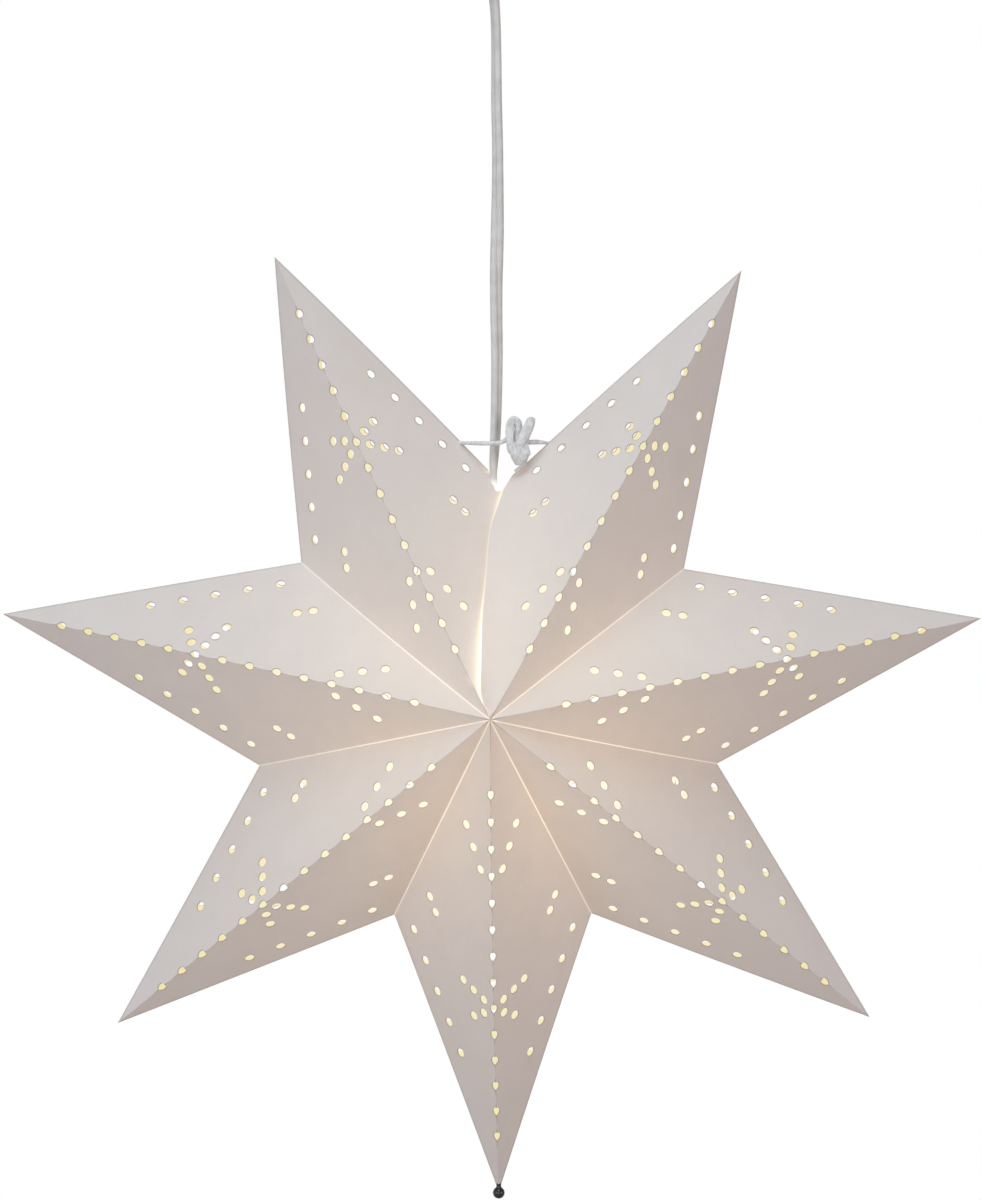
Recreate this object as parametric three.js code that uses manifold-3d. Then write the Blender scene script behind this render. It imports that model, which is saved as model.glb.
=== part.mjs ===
// A seven-pointed folded paper star that hangs round a lamp on a flat cable from a ceiling hook.
// Millimetres, +Z up, front of the star towards -Y. The origin is the middle of the ceiling plate's
// top face, and the cable hangs down the Z axis.
import * as THREE from "three";
import { mergeVertices } from "three/addons/utils/BufferGeometryUtils.js";
import Module from "manifold-3d";

const wasm = await Module();
wasm.setup();

// Driving dimensions of the whole lantern
const starDrop = 419;
const starSideShift = -1.3;
const tipRadius = 222;
const valleyRadius = 105.4;
const halfDepth = 75;
const cardThickness = 0.5;
const fitGap = 0.3;
const cutOverrun = 1;
const roundSides = 16;
const wireSides = 8;

// Each point of the star: where it turns to, as a share of a full turn clockwise from straight up
const pointTurnShares = {
  star_point_top_right: 0.08325,
  star_point_right: 0.22275,
  star_point_lower_right: 0.3601,
  star_point_bottom: 0.49794,
  star_point_lower_left: 0.63669,
  star_point_left: 0.77933,
  star_point_top_left: 0.92806,
};
const pointNames = Object.keys(pointTurnShares);
const seamRightTurnShare = 0.0183;
const seamLeftTurnShare = 0.99606;
const centreTrim = 0.8;
const glueLineTrim = 0.28;

// The open seam between the two top points, in the front half and mirrored in the back half: side and
// height as shares of the valley radius, depth as a share of the star's half depth
const mouthHalfGap = 0.6;
const mouthShares = { side: 0.04175, depth: 0.12, height: 0.9013 };
const seamTuckShares = { side: -0.00474, depth: 0.716, height: 0.2846 };
const seamLapStartShares = { side: 0.00332, depth: 0.936, height: 0.0759 };
const seamLapShares = { side: -0.03795, depth: 0.8333, height: 0.2657 };

// Punched holes, on every face alike: from the star's middle along the ridge, as shares of the ridge's
// length, and across from the ridge, as shares of the valley radius
const hole = { radius: 2.5, sides: 5, punchReach: 12 };
const ridgeHoleShares = { start: 0.1519, pitch: 0.05578 };
const ridgeHoleCount = 14;
const holeRowShares = [
  { along: 0.31195, across: 0.06167, stepAlong: -0.04075, stepAcross: 0.0389, count: 3 },
  { along: 0.41437, across: 0.35674, stepAlong: 0.02795, stepAcross: -0.03178, count: 2 },
  { along: 0.50143, across: 0.45825, stepAlong: 0.05625, stepAcross: -0.06414, count: 5 },
  { along: 0.58635, across: 0.05693, stepAlong: -0.01238, stepAcross: 0.05769, count: 3 },
  { along: 0.61452, across: 0.05787, stepAlong: 0.01558, stepAcross: 0.05769, count: 2 },
];

// The tie that draws the two top points together in front of the cable
const tie = {
  radius: 1.2,
  height: 117.7,
  depth: 4.6,
  rightDepth: 2.8,
  straight: 2.6,
  stopRadius: 2.4,
  stopReach: 7.6,
  holeRadius: 1.75,
};
const knot = {
  side: 13.6,
  topHeight: 117.5,
  bottomHeight: 106.6,
  topRadius: 5.6,
  bottomRadius: 3.6,
  thickShare: 0.66,
  bulge: 0.7,
  turns: 4,
  cordRadius: 1.5,
  tailLength: 6,
  reach: 7.4,
};
const knotLoopShares = [
  { side: -0.518, lean: -0.04, length: 2.143, width: 0.446 },
  { side: 0.482, lean: 0.3, length: 2.071, width: 0.304 },
];

// The bead under the bottom point
const bead = { radius: 2.7, neckRadius: 1.05, neckLength: 1.7, sides: 16 };
const tipCut = 4.2;
const tipPin = { radius: 0.4, headRadius: 2, headThickness: 0.8, clearance: 0.22 };

// Ceiling plate, its screws and the hook
const plate = { radius: 30, thickness: 4, edge: 1, bossRadius: 7, bossDrop: 8, screwSide: 19 };
const plateScrew = { radius: 2, headRadius: 4.2, headDepth: 2.6, reach: 22, pointLength: 5 };
const hook = { wireRadius: 1.7, bendRadius: 8, stemDrop: 11, ringDrop: 14, threadDepth: 7 };
const hookNut = { acrossCorners: 10, thickness: 3 };
const link = { wireRadius: 1.3, bendRadius: 5.5, straight: 10 };
const eye = { wireRadius: 1.3, ringRadius: 4.5, headRadius: 3.6, headThickness: 2 };

// The connection housing that the cable ends in
const housing = { radius: 15, height: 27, wall: 1.6, topWall: 3, leadRadius: 3.2, leadDrop: 11, topGap: 3 };
const lid = { thickness: 3, spigot: 3, nippleRadius: 6, nippleDrop: 8, outletRadius: 3.6 };
const clampRib = { width: 18, thickness: 4, height: 6 };
const clampBar = { thickness: 3 };
const clampScrew = { radius: 1.2, headRadius: 2.3, headThickness: 1.5, side: 6.2 };
const terminal = { width: 16, depth: 9, height: 9, drop: 5, screwSide: 4, screwRadius: 1.5, screwRise: 1.2 };

// The flat two-core cable
const cable = { width: 5.9, thickness: 4.2 };

// Lampholder, measured down from its own top
const holderTopHeight = 80;
const holder = {
  radius: 14,
  wall: 1.8,
  height: 64,
  capHeight: 28,
  capNeck: 5,
  coneHeight: 14,
  skirtShelf: 30,
};
const grip = { radius: 7, thickness: 4, drop: 15.5 };
const block = { height: 7.5, postSide: 6.4, screwRadius: 1.4, screwHeadRadius: 2.2, screwHead: 1.5 };
const lead = { radius: 0.8, coreSide: 1.5 };
const thread = { radius: 6.95, depth: 0.55, pitch: 2.82, count: 6, wall: 0.5 };
const contactStrip = { width: 4, thickness: 0.5, reach: 5, drop: 2.4 };

// The bulb
const bulb = {
  radius: 22.5,
  neckRadius: 5.4,
  length: 73,
  wall: 0.8,
  capSkirt: 3,
  tipRadius: 2.4,
  tipHeight: 1.2,
};
const bulbStem = { radius: 2.4, length: 16, flare: 5 };
const filament = { radius: 0.5, halfWidth: 8, drop: 16 };

const group = new THREE.Group();
const starGroup = new THREE.Group();
starGroup.position.set(starSideShift, 0, -starDrop);
const lampGroup = new THREE.Group();
lampGroup.position.set(0, 0, holderTopHeight - starDrop);
group.add(starGroup, lampGroup);

const finishes = {
  card: { color: 0xd6d0cd, roughness: 0.85, metalness: 0 },
  cord: { color: 0xe3e1e1, roughness: 0.5, metalness: 0 },
  cable: { color: 0xd4d3d3, roughness: 0.45, metalness: 0 },
  plastic: { color: 0xf2f1ee, roughness: 0.4, metalness: 0 },
  ceramic: { color: 0xefece4, roughness: 0.3, metalness: 0 },
  steel: { color: 0xb9bcc0, roughness: 0.3, metalness: 0.9 },
  darkSteel: { color: 0x4a4a4e, roughness: 0.2, metalness: 0.9 },
  paintedSteel: { color: 0xf4f3f0, roughness: 0.45, metalness: 0.1 },
  brass: { color: 0xc9a75a, roughness: 0.35, metalness: 0.9 },
  blackGlass: { color: 0x17171a, roughness: 0.2, metalness: 0 },
  opalGlass: { color: 0xfff3d6, roughness: 0.25, metalness: 0 },
};

function addMesh(parent, name, geometry, finish, x = 0, y = 0, z = 0) {
  const material = new THREE.MeshStandardMaterial(finishes[finish]);
  const mesh = new THREE.Mesh(geometry, material);
  mesh.name = name;
  mesh.position.set(x, y, z);
  parent.add(mesh);
  return mesh;
}

// Solids for joining and cutting

function toSolid(geometry) {
  const bare = geometry.index ? geometry.toNonIndexed() : geometry.clone();
  bare.deleteAttribute("normal");
  bare.deleteAttribute("uv");
  const merged = mergeVertices(bare, 1e-4);
  const kept = [];
  const index = merged.index.array;
  for (let i = 0; i < index.length; i += 3) {
    const [a, b, c] = [index[i], index[i + 1], index[i + 2]];
    if (a !== b && b !== c && c !== a) kept.push(a, b, c);
  }
  const vertProperties = new Float32Array(merged.attributes.position.array);
  return new wasm.Manifold(new wasm.Mesh({ numProp: 3, vertProperties, triVerts: new Uint32Array(kept) }));
}

function toGeometry(solid) {
  const mesh = solid.getMesh();
  const geometry = new THREE.BufferGeometry();
  geometry.setAttribute("position", new THREE.BufferAttribute(new Float32Array(mesh.vertProperties), 3));
  geometry.setIndex(new THREE.BufferAttribute(new Uint32Array(mesh.triVerts), 1));
  const loose = geometry.toNonIndexed();
  loose.computeVertexNormals();
  return loose;
}

const joined = (...geometries) => toGeometry(geometries.map(toSolid).reduce((a, b) => a.add(b)));

function cut(geometry, ...tools) {
  return toGeometry(toSolid(geometry).subtract(wasm.Manifold.union(tools.map(toSolid))));
}

// Common shapes

// A profile of [radius, height] points turned about the Z axis
function turned(profile, sides = roundSides) {
  const points = profile.map(([radius, height]) => new THREE.Vector2(radius, height));
  const geometry = new THREE.LatheGeometry(points, sides);
  geometry.rotateX(Math.PI / 2);
  return geometry;
}

function rod(radius, low, high, sides = roundSides) {
  return turned([[0, low], [radius, low], [radius, high], [0, high]], sides);
}

function tubeWall(inner, outer, low, high, sides = roundSides) {
  return turned([[inner, low], [outer, low], [outer, high], [inner, high], [inner, low]], sides);
}

function block3(width, depth, height) {
  return new THREE.BoxGeometry(width, depth, height);
}

function roundSection(radius, sides) {
  const shape = new THREE.Shape();
  for (let i = 0; i < sides; i += 1) {
    const turn = (2 * Math.PI * (i + 0.5)) / sides;
    const place = [radius * Math.cos(turn), radius * Math.sin(turn)];
    if (i === 0) shape.moveTo(...place);
    else shape.lineTo(...place);
  }
  shape.closePath();
  return shape;
}

function tubeAlong(points, radius, steps, sides = wireSides) {
  const path = new THREE.CatmullRomCurve3(points.map((p) => new THREE.Vector3(...p)), false, "centripetal");
  const section = roundSection(radius, sides);
  return new THREE.ExtrudeGeometry(section, { steps, bevelEnabled: false, extrudePath: path });
}

// The star's folded card

const towards = (a, b, distance) => a.clone().add(b.clone().sub(a).setLength(distance));
const atTurn = (radius, share) => {
  const turn = 2 * Math.PI * share;
  return new THREE.Vector3(radius * Math.sin(turn), 0, radius * Math.cos(turn));
};

// The move that puts a corner on every face beside it, each face sunk by the card's thickness
function sinkOf(normals, thickness) {
  const move = new THREE.Vector3();
  const passes = 3000;
  for (let pass = 0; pass < passes; pass += 1) {
    for (const normal of normals) move.addScaledVector(normal, -thickness - normal.dot(move));
  }
  return move;
}

// A folded sheet: its outer faces, the same faces sunk by the thickness, and a rim round its free edges
function foldedCard(corners, faces, thickness) {
  const normals = faces.map(([a, b, c]) =>
    new THREE.Triangle(corners[a], corners[b], corners[c]).getNormal(new THREE.Vector3()),
  );
  const inner = corners.map((corner, i) => {
    const beside = normals.filter((_, f) => faces[f].includes(i));
    return corner.clone().add(sinkOf(beside, thickness));
  });
  const edges = new Set(faces.flatMap(([a, b, c]) => [`${a} ${b}`, `${b} ${c}`, `${c} ${a}`]));
  const triangles = [];
  for (const [a, b, c] of faces) {
    triangles.push(corners[a], corners[b], corners[c], inner[a], inner[c], inner[b]);
  }
  for (const edge of edges) {
    const [a, b] = edge.split(" ").map(Number);
    if (edges.has(`${b} ${a}`)) continue;
    triangles.push(corners[b], corners[a], inner[a], corners[b], inner[a], inner[b]);
  }
  return new THREE.BufferGeometry().setFromPoints(triangles);
}

// The valley folds on the two sides of a point, counter-clockwise side first
function valleyTurns(place) {
  const own = pointTurnShares[pointNames[place]];
  const last = pointNames.length - 1;
  const before = place > 0 ? (pointTurnShares[pointNames[place - 1]] + own) / 2 : seamRightTurnShare;
  const after = place < last ? (own + pointTurnShares[pointNames[place + 1]]) / 2 : seamLeftTurnShare;
  return [before, after];
}

function pointFrame(place) {
  const [before, after] = valleyTurns(place);
  const front = new THREE.Vector3(0, -halfDepth, 0);
  const tip = atTurn(tipRadius, pointTurnShares[pointNames[place]]);
  return { front, tip, valleys: [atTurn(valleyRadius, before), atTurn(valleyRadius, after)] };
}

function pointCard(place) {
  const { front, tip, valleys } = pointFrame(place);
  const opensBefore = place === 0;
  const opensAfter = place === pointNames.length - 1;
  const corners = [tip];
  const faces = [];
  const shared = valleys.map((valley, side) => {
    const free = side === 0 ? opensBefore : opensAfter;
    return corners.push(free ? valley : towards(valley, tip, glueLineTrim)) - 1;
  });
  for (const facing of [1, -1]) {
    const put = (p) => corners.push(new THREE.Vector3(p.x, p.y * facing, p.z)) - 1;
    const seamPlace = (shares, shift = 0) => {
      const side = valleyRadius * shares.side + shift;
      return put(new THREE.Vector3(side, -halfDepth * shares.depth, valleyRadius * shares.height));
    };
    const middle = put(towards(front, tip, centreTrim));
    const half = [
      [middle, shared[1], 0],
      [middle, 0, shared[0]],
    ];
    if (opensBefore) {
      const top = seamPlace(mouthShares, mouthHalfGap);
      const start = seamPlace(seamLapStartShares);
      const lap = seamPlace(seamLapShares);
      half.push([middle, shared[0], top], [middle, top, start], [start, top, lap]);
    }
    if (opensAfter) {
      const top = seamPlace(mouthShares, -mouthHalfGap);
      const tuck = seamPlace(seamTuckShares);
      half.push([middle, tuck, shared[1]], [tuck, top, shared[1]]);
    }
    for (const [a, b, c] of half) faces.push(facing > 0 ? [a, b, c] : [a, c, b]);
  }
  return foldedCard(corners, faces, cardThickness);
}

// A slim point pushed in from outside makes a hole. It stands square to the plane that runs along and
// across, and is narrowed across
function punch(centre, along, across, outside, narrow) {
  const outer = cardThickness + cutOverrun;
  const wide = (hole.radius * (hole.punchReach + outer)) / hole.punchReach;
  const spike = turned([[0, -hole.punchReach], [wide, outer], [0, outer]], hole.sides);
  spike.scale(1, narrow, 1);
  const side = across.clone();
  if (along.clone().cross(side).dot(outside) < 0) side.negate();
  const square = along.clone().cross(side);
  spike.applyMatrix4(new THREE.Matrix4().makeBasis(along, side, square).setPosition(centre));
  return spike;
}

// The holes of one point: square to each face, and on each ridge square to the middle of its two faces
// and narrowed, so that each face has half a round hole there
function punches(place) {
  const { front, tip, valleys } = pointFrame(place);
  const ridgeLength = tip.distanceTo(front);
  const spikes = [];
  for (const facing of [1, -1]) {
    const middle = new THREE.Vector3(front.x, front.y * facing, front.z);
    const along = tip.clone().sub(middle).normalize();
    const acrosses = valleys.map((valley) => {
      const reach = valley.clone().sub(middle);
      return reach.addScaledVector(along, -reach.dot(along)).normalize();
    });
    for (const across of acrosses) {
      for (const row of holeRowShares) {
        for (let i = 0; i < row.count; i += 1) {
          const centre = middle.clone();
          centre.addScaledVector(along, ridgeLength * (row.along + i * row.stepAlong));
          centre.addScaledVector(across, valleyRadius * (row.across + i * row.stepAcross));
          spikes.push(punch(centre, along, across, middle, 1));
        }
      }
    }
    const between = acrosses[0].clone().sub(acrosses[1]).normalize();
    for (let i = 0; i < ridgeHoleCount; i += 1) {
      const share = ridgeHoleShares.start + i * ridgeHoleShares.pitch;
      const centre = middle.clone().addScaledVector(along, ridgeLength * share);
      spikes.push(punch(centre, along, between, middle, between.dot(acrosses[0])));
    }
  }
  return spikes;
}

// A tie hole goes through the outer fold of a top point, where the fold passes the tie's height
function foldPlace(place, side) {
  const { tip, valleys } = pointFrame(place);
  const valley = valleys[side];
  return valley.clone().lerp(tip, (tie.height - valley.z) / (tip.z - valley.z));
}

const lastPlace = pointNames.length - 1;
const tieHoles = { 0: foldPlace(0, 0), [lastPlace]: foldPlace(lastPlace, 1) };
const bottomPlace = pointNames.indexOf("star_point_bottom");
const bottomTip = pointFrame(bottomPlace).tip;

pointNames.forEach((name, place) => {
  const tools = punches(place);
  if (tieHoles[place]) {
    const drill = rod(tie.holeRadius, -tie.stopReach / 2, tie.stopReach / 2, 12);
    drill.rotateY(Math.PI / 2);
    drill.translate(tieHoles[place].x, tieHoles[place].y, tieHoles[place].z);
    tools.push(drill);
  }
  if (place === bottomPlace) {
    const end = block3(tipRadius, tipRadius, tipRadius);
    end.translate(bottomTip.x, 0, bottomTip.z + tipCut - tipRadius / 2);
    const drill = rod(tipPin.radius + tipPin.clearance, -tipCut, 2 * tipCut, wireSides);
    drill.translate(bottomTip.x, 0, bottomTip.z);
    tools.push(end, drill);
  }
  addMesh(starGroup, name, cut(pointCard(place), ...tools), "card");
});

// The tie: a cord through each outer fold, stopped inside, and a bow knot between them

const knotDepth = -tie.depth - knot.cordRadius;

function tieCord(name, from, sign, depth, bends = []) {
  const cordPath = [
    [from.x - sign * tie.stopReach, from.y, from.z],
    [from.x - (sign * tie.stopReach) / 2, from.y, from.z],
    [from.x, from.y, from.z],
    [from.x + sign * tie.straight, from.y, from.z],
    ...bends,
    [knot.side - sign * knot.reach, -depth, from.z],
  ];
  const cord = tubeAlong(cordPath, tie.radius, 16);
  const stop = new THREE.SphereGeometry(tie.stopRadius, wireSides, wireSides);
  stop.translate(from.x - sign * tie.stopReach, from.y, from.z);
  addMesh(starGroup, name, joined(cord, stop), "cord");
}
const passing = [[-starSideShift - cable.width / 2, -tie.depth, tie.height]];
tieCord("tie_cord_left", tieHoles[lastPlace], 1, tie.depth, passing);
tieCord("tie_cord_right", tieHoles[0], -1, tie.rightDepth);

function knotBody() {
  const steps = 2 * knot.turns;
  const profile = [[0, knot.bottomHeight]];
  for (let i = 0; i <= steps; i += 1) {
    const share = i / steps;
    const radius = THREE.MathUtils.lerp(knot.bottomRadius, knot.topRadius, share);
    const rib = i % 2 === 1 ? 0 : knot.bulge;
    profile.push([radius - rib, THREE.MathUtils.lerp(knot.bottomHeight, knot.topHeight, share)]);
  }
  profile.push([0, knot.topHeight]);
  const body = turned(profile, 12);
  body.scale(1, knot.thickShare, 1);
  return body;
}

// A loop's side, length and width are shares of the knot's top radius
function knotLoop({ side, lean, length, width }) {
  const steps = 8;
  const points = [];
  for (let i = 0; i <= steps; i += 1) {
    const turn = (Math.PI * i) / steps;
    const rise = knot.topRadius * length * Math.sin(turn) - knot.cordRadius;
    const across = side - width * Math.cos(turn) * (1 - Math.sin(turn) / 3);
    points.push([knot.topRadius * across + lean * rise, 0, knot.topHeight + rise]);
  }
  return tubeAlong(points, knot.cordRadius, 2 * steps - 2);
}

const tail = tubeAlong(
  [
    [0, 0, knot.bottomHeight + knot.cordRadius],
    [-knot.cordRadius, 0, knot.bottomHeight - knot.tailLength / 3],
    [-2 * knot.cordRadius, 0, knot.bottomHeight - knot.tailLength],
  ],
  knot.cordRadius / 2,
  4,
);
const knotShape = joined(knotBody(), ...knotLoopShares.map(knotLoop), tail);
addMesh(starGroup, "tie_knot", knotShape, "cord", knot.side, knotDepth);

// The bead: a pin whose head rests inside the bottom point carries a ball under it

// How fast a point's hollow widens away from its tip, from its middle to the nearest face
function taperOf(place) {
  const { tip, valleys } = pointFrame(place);
  const axis = tip.clone().normalize();
  const spreads = valleys.map((valley) => {
    const rise = valley.dot(axis);
    return valley.clone().addScaledVector(axis, -rise).length() / (tipRadius - rise);
  });
  const wide = Math.min(...spreads);
  const deep = halfDepth / tipRadius;
  return (wide * deep) / Math.hypot(wide, deep);
}
const pinTop = bottomTip.z + (tipPin.headRadius + cardThickness + fitGap) / taperOf(bottomPlace);
const beadTop = bottomTip.z + tipCut - fitGap;
const beadCentre = beadTop - bead.neckLength - bead.radius;
const pinHole = tipPin.radius + tipPin.clearance;
const ballRise = Math.sqrt(bead.radius ** 2 - bead.neckRadius ** 2);
const ballSteps = 8;
const beadProfile = [];
for (let i = 0; i <= ballSteps; i += 1) {
  const turn = -Math.PI / 2 + (i / ballSteps) * (Math.PI / 2 + Math.atan2(ballRise, bead.neckRadius));
  beadProfile.push([bead.radius * Math.cos(turn), beadCentre + bead.radius * Math.sin(turn)]);
}
beadProfile[0][0] = 0;
beadProfile.push([bead.neckRadius, beadTop], [pinHole, beadTop]);
beadProfile.push([pinHole, beadCentre - fitGap], [0, beadCentre - fitGap]);
addMesh(starGroup, "tip_ball", turned(beadProfile, bead.sides), "darkSteel", bottomTip.x);
const pinProfile = [
  [0, beadCentre],
  [tipPin.radius, beadCentre],
  [tipPin.radius, pinTop],
  [tipPin.headRadius, pinTop],
  [tipPin.headRadius, pinTop + tipPin.headThickness],
  [0, pinTop + tipPin.headThickness],
];
addMesh(starGroup, "tip_pin", turned(pinProfile, 12), "steel", bottomTip.x);

// Ceiling plate with a boss for the hook, two countersunk screws, the hook and its nut

const plateBottom = -plate.thickness;
const bossBottom = plateBottom - plate.bossDrop;
const hookHole = hook.wireRadius + fitGap;
const hookTop = bossBottom + hook.threadDepth;
const plateShape = turned([
  [0, 0],
  [0, 0],
  [plate.radius - plate.edge, 0],
  [plate.radius, -plate.edge],
  [plate.radius, plateBottom + plate.edge],
  [plate.radius - plate.edge, plateBottom],
  [plate.bossRadius, plateBottom],
  [plate.bossRadius, bossBottom],
  [hookHole, bossBottom],
  [hookHole, hookTop + fitGap],
  [0, hookTop + fitGap],
].reverse(), 24);

function screwShape(spread) {
  const headTop = plateBottom + plateScrew.headDepth;
  return turned([
    [0, plateBottom - (spread ? cutOverrun : 0)],
    [plateScrew.headRadius + spread, plateBottom - (spread ? cutOverrun : 0)],
    [plateScrew.headRadius + spread, plateBottom],
    [plateScrew.radius + spread, headTop],
    [plateScrew.radius + spread, plateScrew.reach - plateScrew.pointLength],
    [0, plateScrew.reach],
  ], 12);
}
const screwSides = { left: -plate.screwSide, right: plate.screwSide };
const screwHoles = Object.values(screwSides).map((side) => screwShape(fitGap).translate(side, 0, 0));
addMesh(group, "ceiling_plate", cut(plateShape, ...screwHoles), "paintedSteel");
for (const [side, place] of Object.entries(screwSides)) {
  addMesh(group, `plate_screw_${side}`, screwShape(0), "steel", place);
}

const ringCentre = bossBottom - hook.ringDrop;
const hookPath = [[0, 0, hookTop], [0, 0, bossBottom], [0, 0, hookTop - hook.stemDrop]];
const hookSteps = 14;
const hookStartShare = 0.19;
const hookEndShare = -0.64;
for (let i = 0; i <= hookSteps; i += 1) {
  const turn = 2 * Math.PI * THREE.MathUtils.lerp(hookStartShare, hookEndShare, i / hookSteps);
  hookPath.push([hook.bendRadius * Math.cos(turn), 0, ringCentre + hook.bendRadius * Math.sin(turn)]);
}
addMesh(group, "ceiling_hook", tubeAlong(hookPath, hook.wireRadius, 30), "steel");
const nutShape = roundSection(hookNut.acrossCorners / 2, 6);
nutShape.holes.push(roundSection(hookHole, 12));
const nut = new THREE.ExtrudeGeometry(nutShape, { depth: hookNut.thickness, bevelEnabled: false });
addMesh(group, "hook_nut", nut, "steel", 0, 0, bossBottom - fitGap - hookNut.thickness);

// The link hangs front to back on the hook, and the swivel eye side to side on the link

const hookWire = ringCentre - hook.bendRadius;
const linkTop = hookWire + hook.wireRadius + fitGap + link.wireRadius;
const linkBottom = linkTop - 2 * link.bendRadius - link.straight;
const linkShape = new THREE.TorusGeometry(link.bendRadius, link.wireRadius, wireSides, 24);
const linkPlaces = linkShape.attributes.position;
for (let i = 0; i < linkPlaces.count; i += 1) {
  const height = linkPlaces.getY(i);
  const half = height > -fitGap / 2 ? link.straight / 2 : -link.straight / 2;
  linkPlaces.setY(i, height + half);
}
linkShape.rotateX(Math.PI / 2);
linkShape.rotateZ(Math.PI / 2);
addMesh(group, "hanger_link", linkShape, "steel", 0, 0, (linkTop + linkBottom) / 2);

const eyeTop = linkBottom + link.wireRadius + fitGap + eye.wireRadius;
const eyeCentre = eyeTop - eye.ringRadius;
const housingTop = eyeCentre - eye.ringRadius - eye.wireRadius - housing.topGap;
const housingCeiling = housingTop - housing.topWall;
const eyeRing = new THREE.TorusGeometry(eye.ringRadius, eye.wireRadius, wireSides, 20);
eyeRing.rotateX(Math.PI / 2);
const eyeHeadTop = housingCeiling - fitGap;
const eyeStem = turned([
  [0, eyeHeadTop - eye.headThickness - eyeCentre],
  [eye.headRadius, eyeHeadTop - eye.headThickness - eyeCentre],
  [eye.headRadius, eyeHeadTop - eyeCentre],
  [eye.wireRadius, eyeHeadTop - eyeCentre],
  [eye.wireRadius, -eye.ringRadius],
  [0, -eye.ringRadius],
], 12);
addMesh(group, "swivel_eye", joined(eyeRing, eyeStem), "steel", 0, 0, eyeCentre);

// The connection housing: a cup with a lid, the terminal block and the cable clamp

const housingBottom = housingTop - housing.height;
const eyeHole = eye.wireRadius + fitGap;
const housingInner = housing.radius - housing.wall;
const housingCup = turned([
  [eyeHole, housingCeiling],
  [housingInner, housingCeiling],
  [housingInner, housingBottom],
  [housing.radius, housingBottom],
  [housing.radius, housingTop],
  [eyeHole, housingTop],
  [eyeHole, housingCeiling],
]);
const leadHole = rod(housing.leadRadius, 0, 2 * housing.radius, 12);
leadHole.rotateX(-Math.PI / 2);
leadHole.translate(0, 0, housingTop - housing.leadDrop);
addMesh(group, "connection_housing", cut(housingCup, leadHole), "plastic");

const lidTop = housingBottom - fitGap;
const lidBottom = lidTop - lid.thickness;
const nippleBottom = lidBottom - lid.nippleDrop;
const lidCup = turned([
  [lid.outletRadius, nippleBottom],
  [lid.nippleRadius - lid.thickness / 3, nippleBottom],
  [lid.nippleRadius, lidBottom],
  [housing.radius, lidBottom],
  [housing.radius, lidTop],
  [housingInner - fitGap, lidTop],
  [housingInner - fitGap, lidTop + lid.spigot],
  [lid.outletRadius, lidTop + lid.spigot],
  [lid.outletRadius, nippleBottom],
]);
const clampFace = cable.thickness / 2 + fitGap;
const ribBottom = lidTop + lid.spigot;
const rib = block3(clampRib.width, clampRib.thickness, clampRib.height + cutOverrun);
rib.translate(0, -clampFace - clampRib.thickness / 2, ribBottom + (clampRib.height - cutOverrun) / 2);
const clampMiddle = ribBottom + clampRib.height / 2;
const screwSpots = { left: -clampScrew.side, right: clampScrew.side };
const clampDrills = Object.values(screwSpots).map((side) => {
  const drill = rod(clampScrew.radius + fitGap, -2 * clampRib.thickness, 2 * clampRib.thickness, 10);
  drill.rotateX(Math.PI / 2);
  drill.translate(side, 0, clampMiddle);
  return drill;
});
addMesh(group, "housing_lid", cut(joined(lidCup, rib), ...clampDrills), "plastic");
const bar = block3(clampRib.width, clampBar.thickness, clampRib.height - fitGap);
bar.translate(0, clampFace + clampBar.thickness / 2, clampMiddle + fitGap / 2);
addMesh(group, "cable_clamp", cut(bar, ...clampDrills), "plastic");
const clampOuter = clampFace + clampBar.thickness + fitGap;
for (const [side, place] of Object.entries(screwSpots)) {
  const screw = turned([
    [0, -clampFace - clampRib.thickness],
    [clampScrew.radius, -clampFace - clampRib.thickness],
    [clampScrew.radius, clampOuter],
    [clampScrew.headRadius, clampOuter],
    [clampScrew.headRadius, clampOuter + clampScrew.headThickness],
    [0, clampOuter + clampScrew.headThickness],
  ], 10);
  screw.rotateX(-Math.PI / 2);
  addMesh(group, `clamp_screw_${side}`, screw, "steel", place, 0, clampMiddle);
}

const terminalTop = housingCeiling - terminal.drop;
const terminalBottom = terminalTop - terminal.height;
const terminalShape = block3(terminal.width, terminal.depth, terminal.height);
terminalShape.translate(0, 0, terminalTop - terminal.height / 2);
const terminalSides = { left: -terminal.screwSide, right: terminal.screwSide };
const boreBottom = terminalTop - terminal.height / 2;
const terminalBores = Object.values(terminalSides).map((side) =>
  rod(terminal.screwRadius + fitGap, boreBottom, terminalTop + cutOverrun, 10).translate(side, 0, 0),
);
addMesh(group, "terminal_block", cut(terminalShape, ...terminalBores), "plastic");
for (const [side, place] of Object.entries(terminalSides)) {
  const screw = rod(terminal.screwRadius, boreBottom + fitGap, terminalTop - terminal.screwRise, 10);
  addMesh(group, `block_screw_${side}`, screw, "brass", place);
}

// The flat cable hangs nearly straight from the clamp to the lampholder

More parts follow.
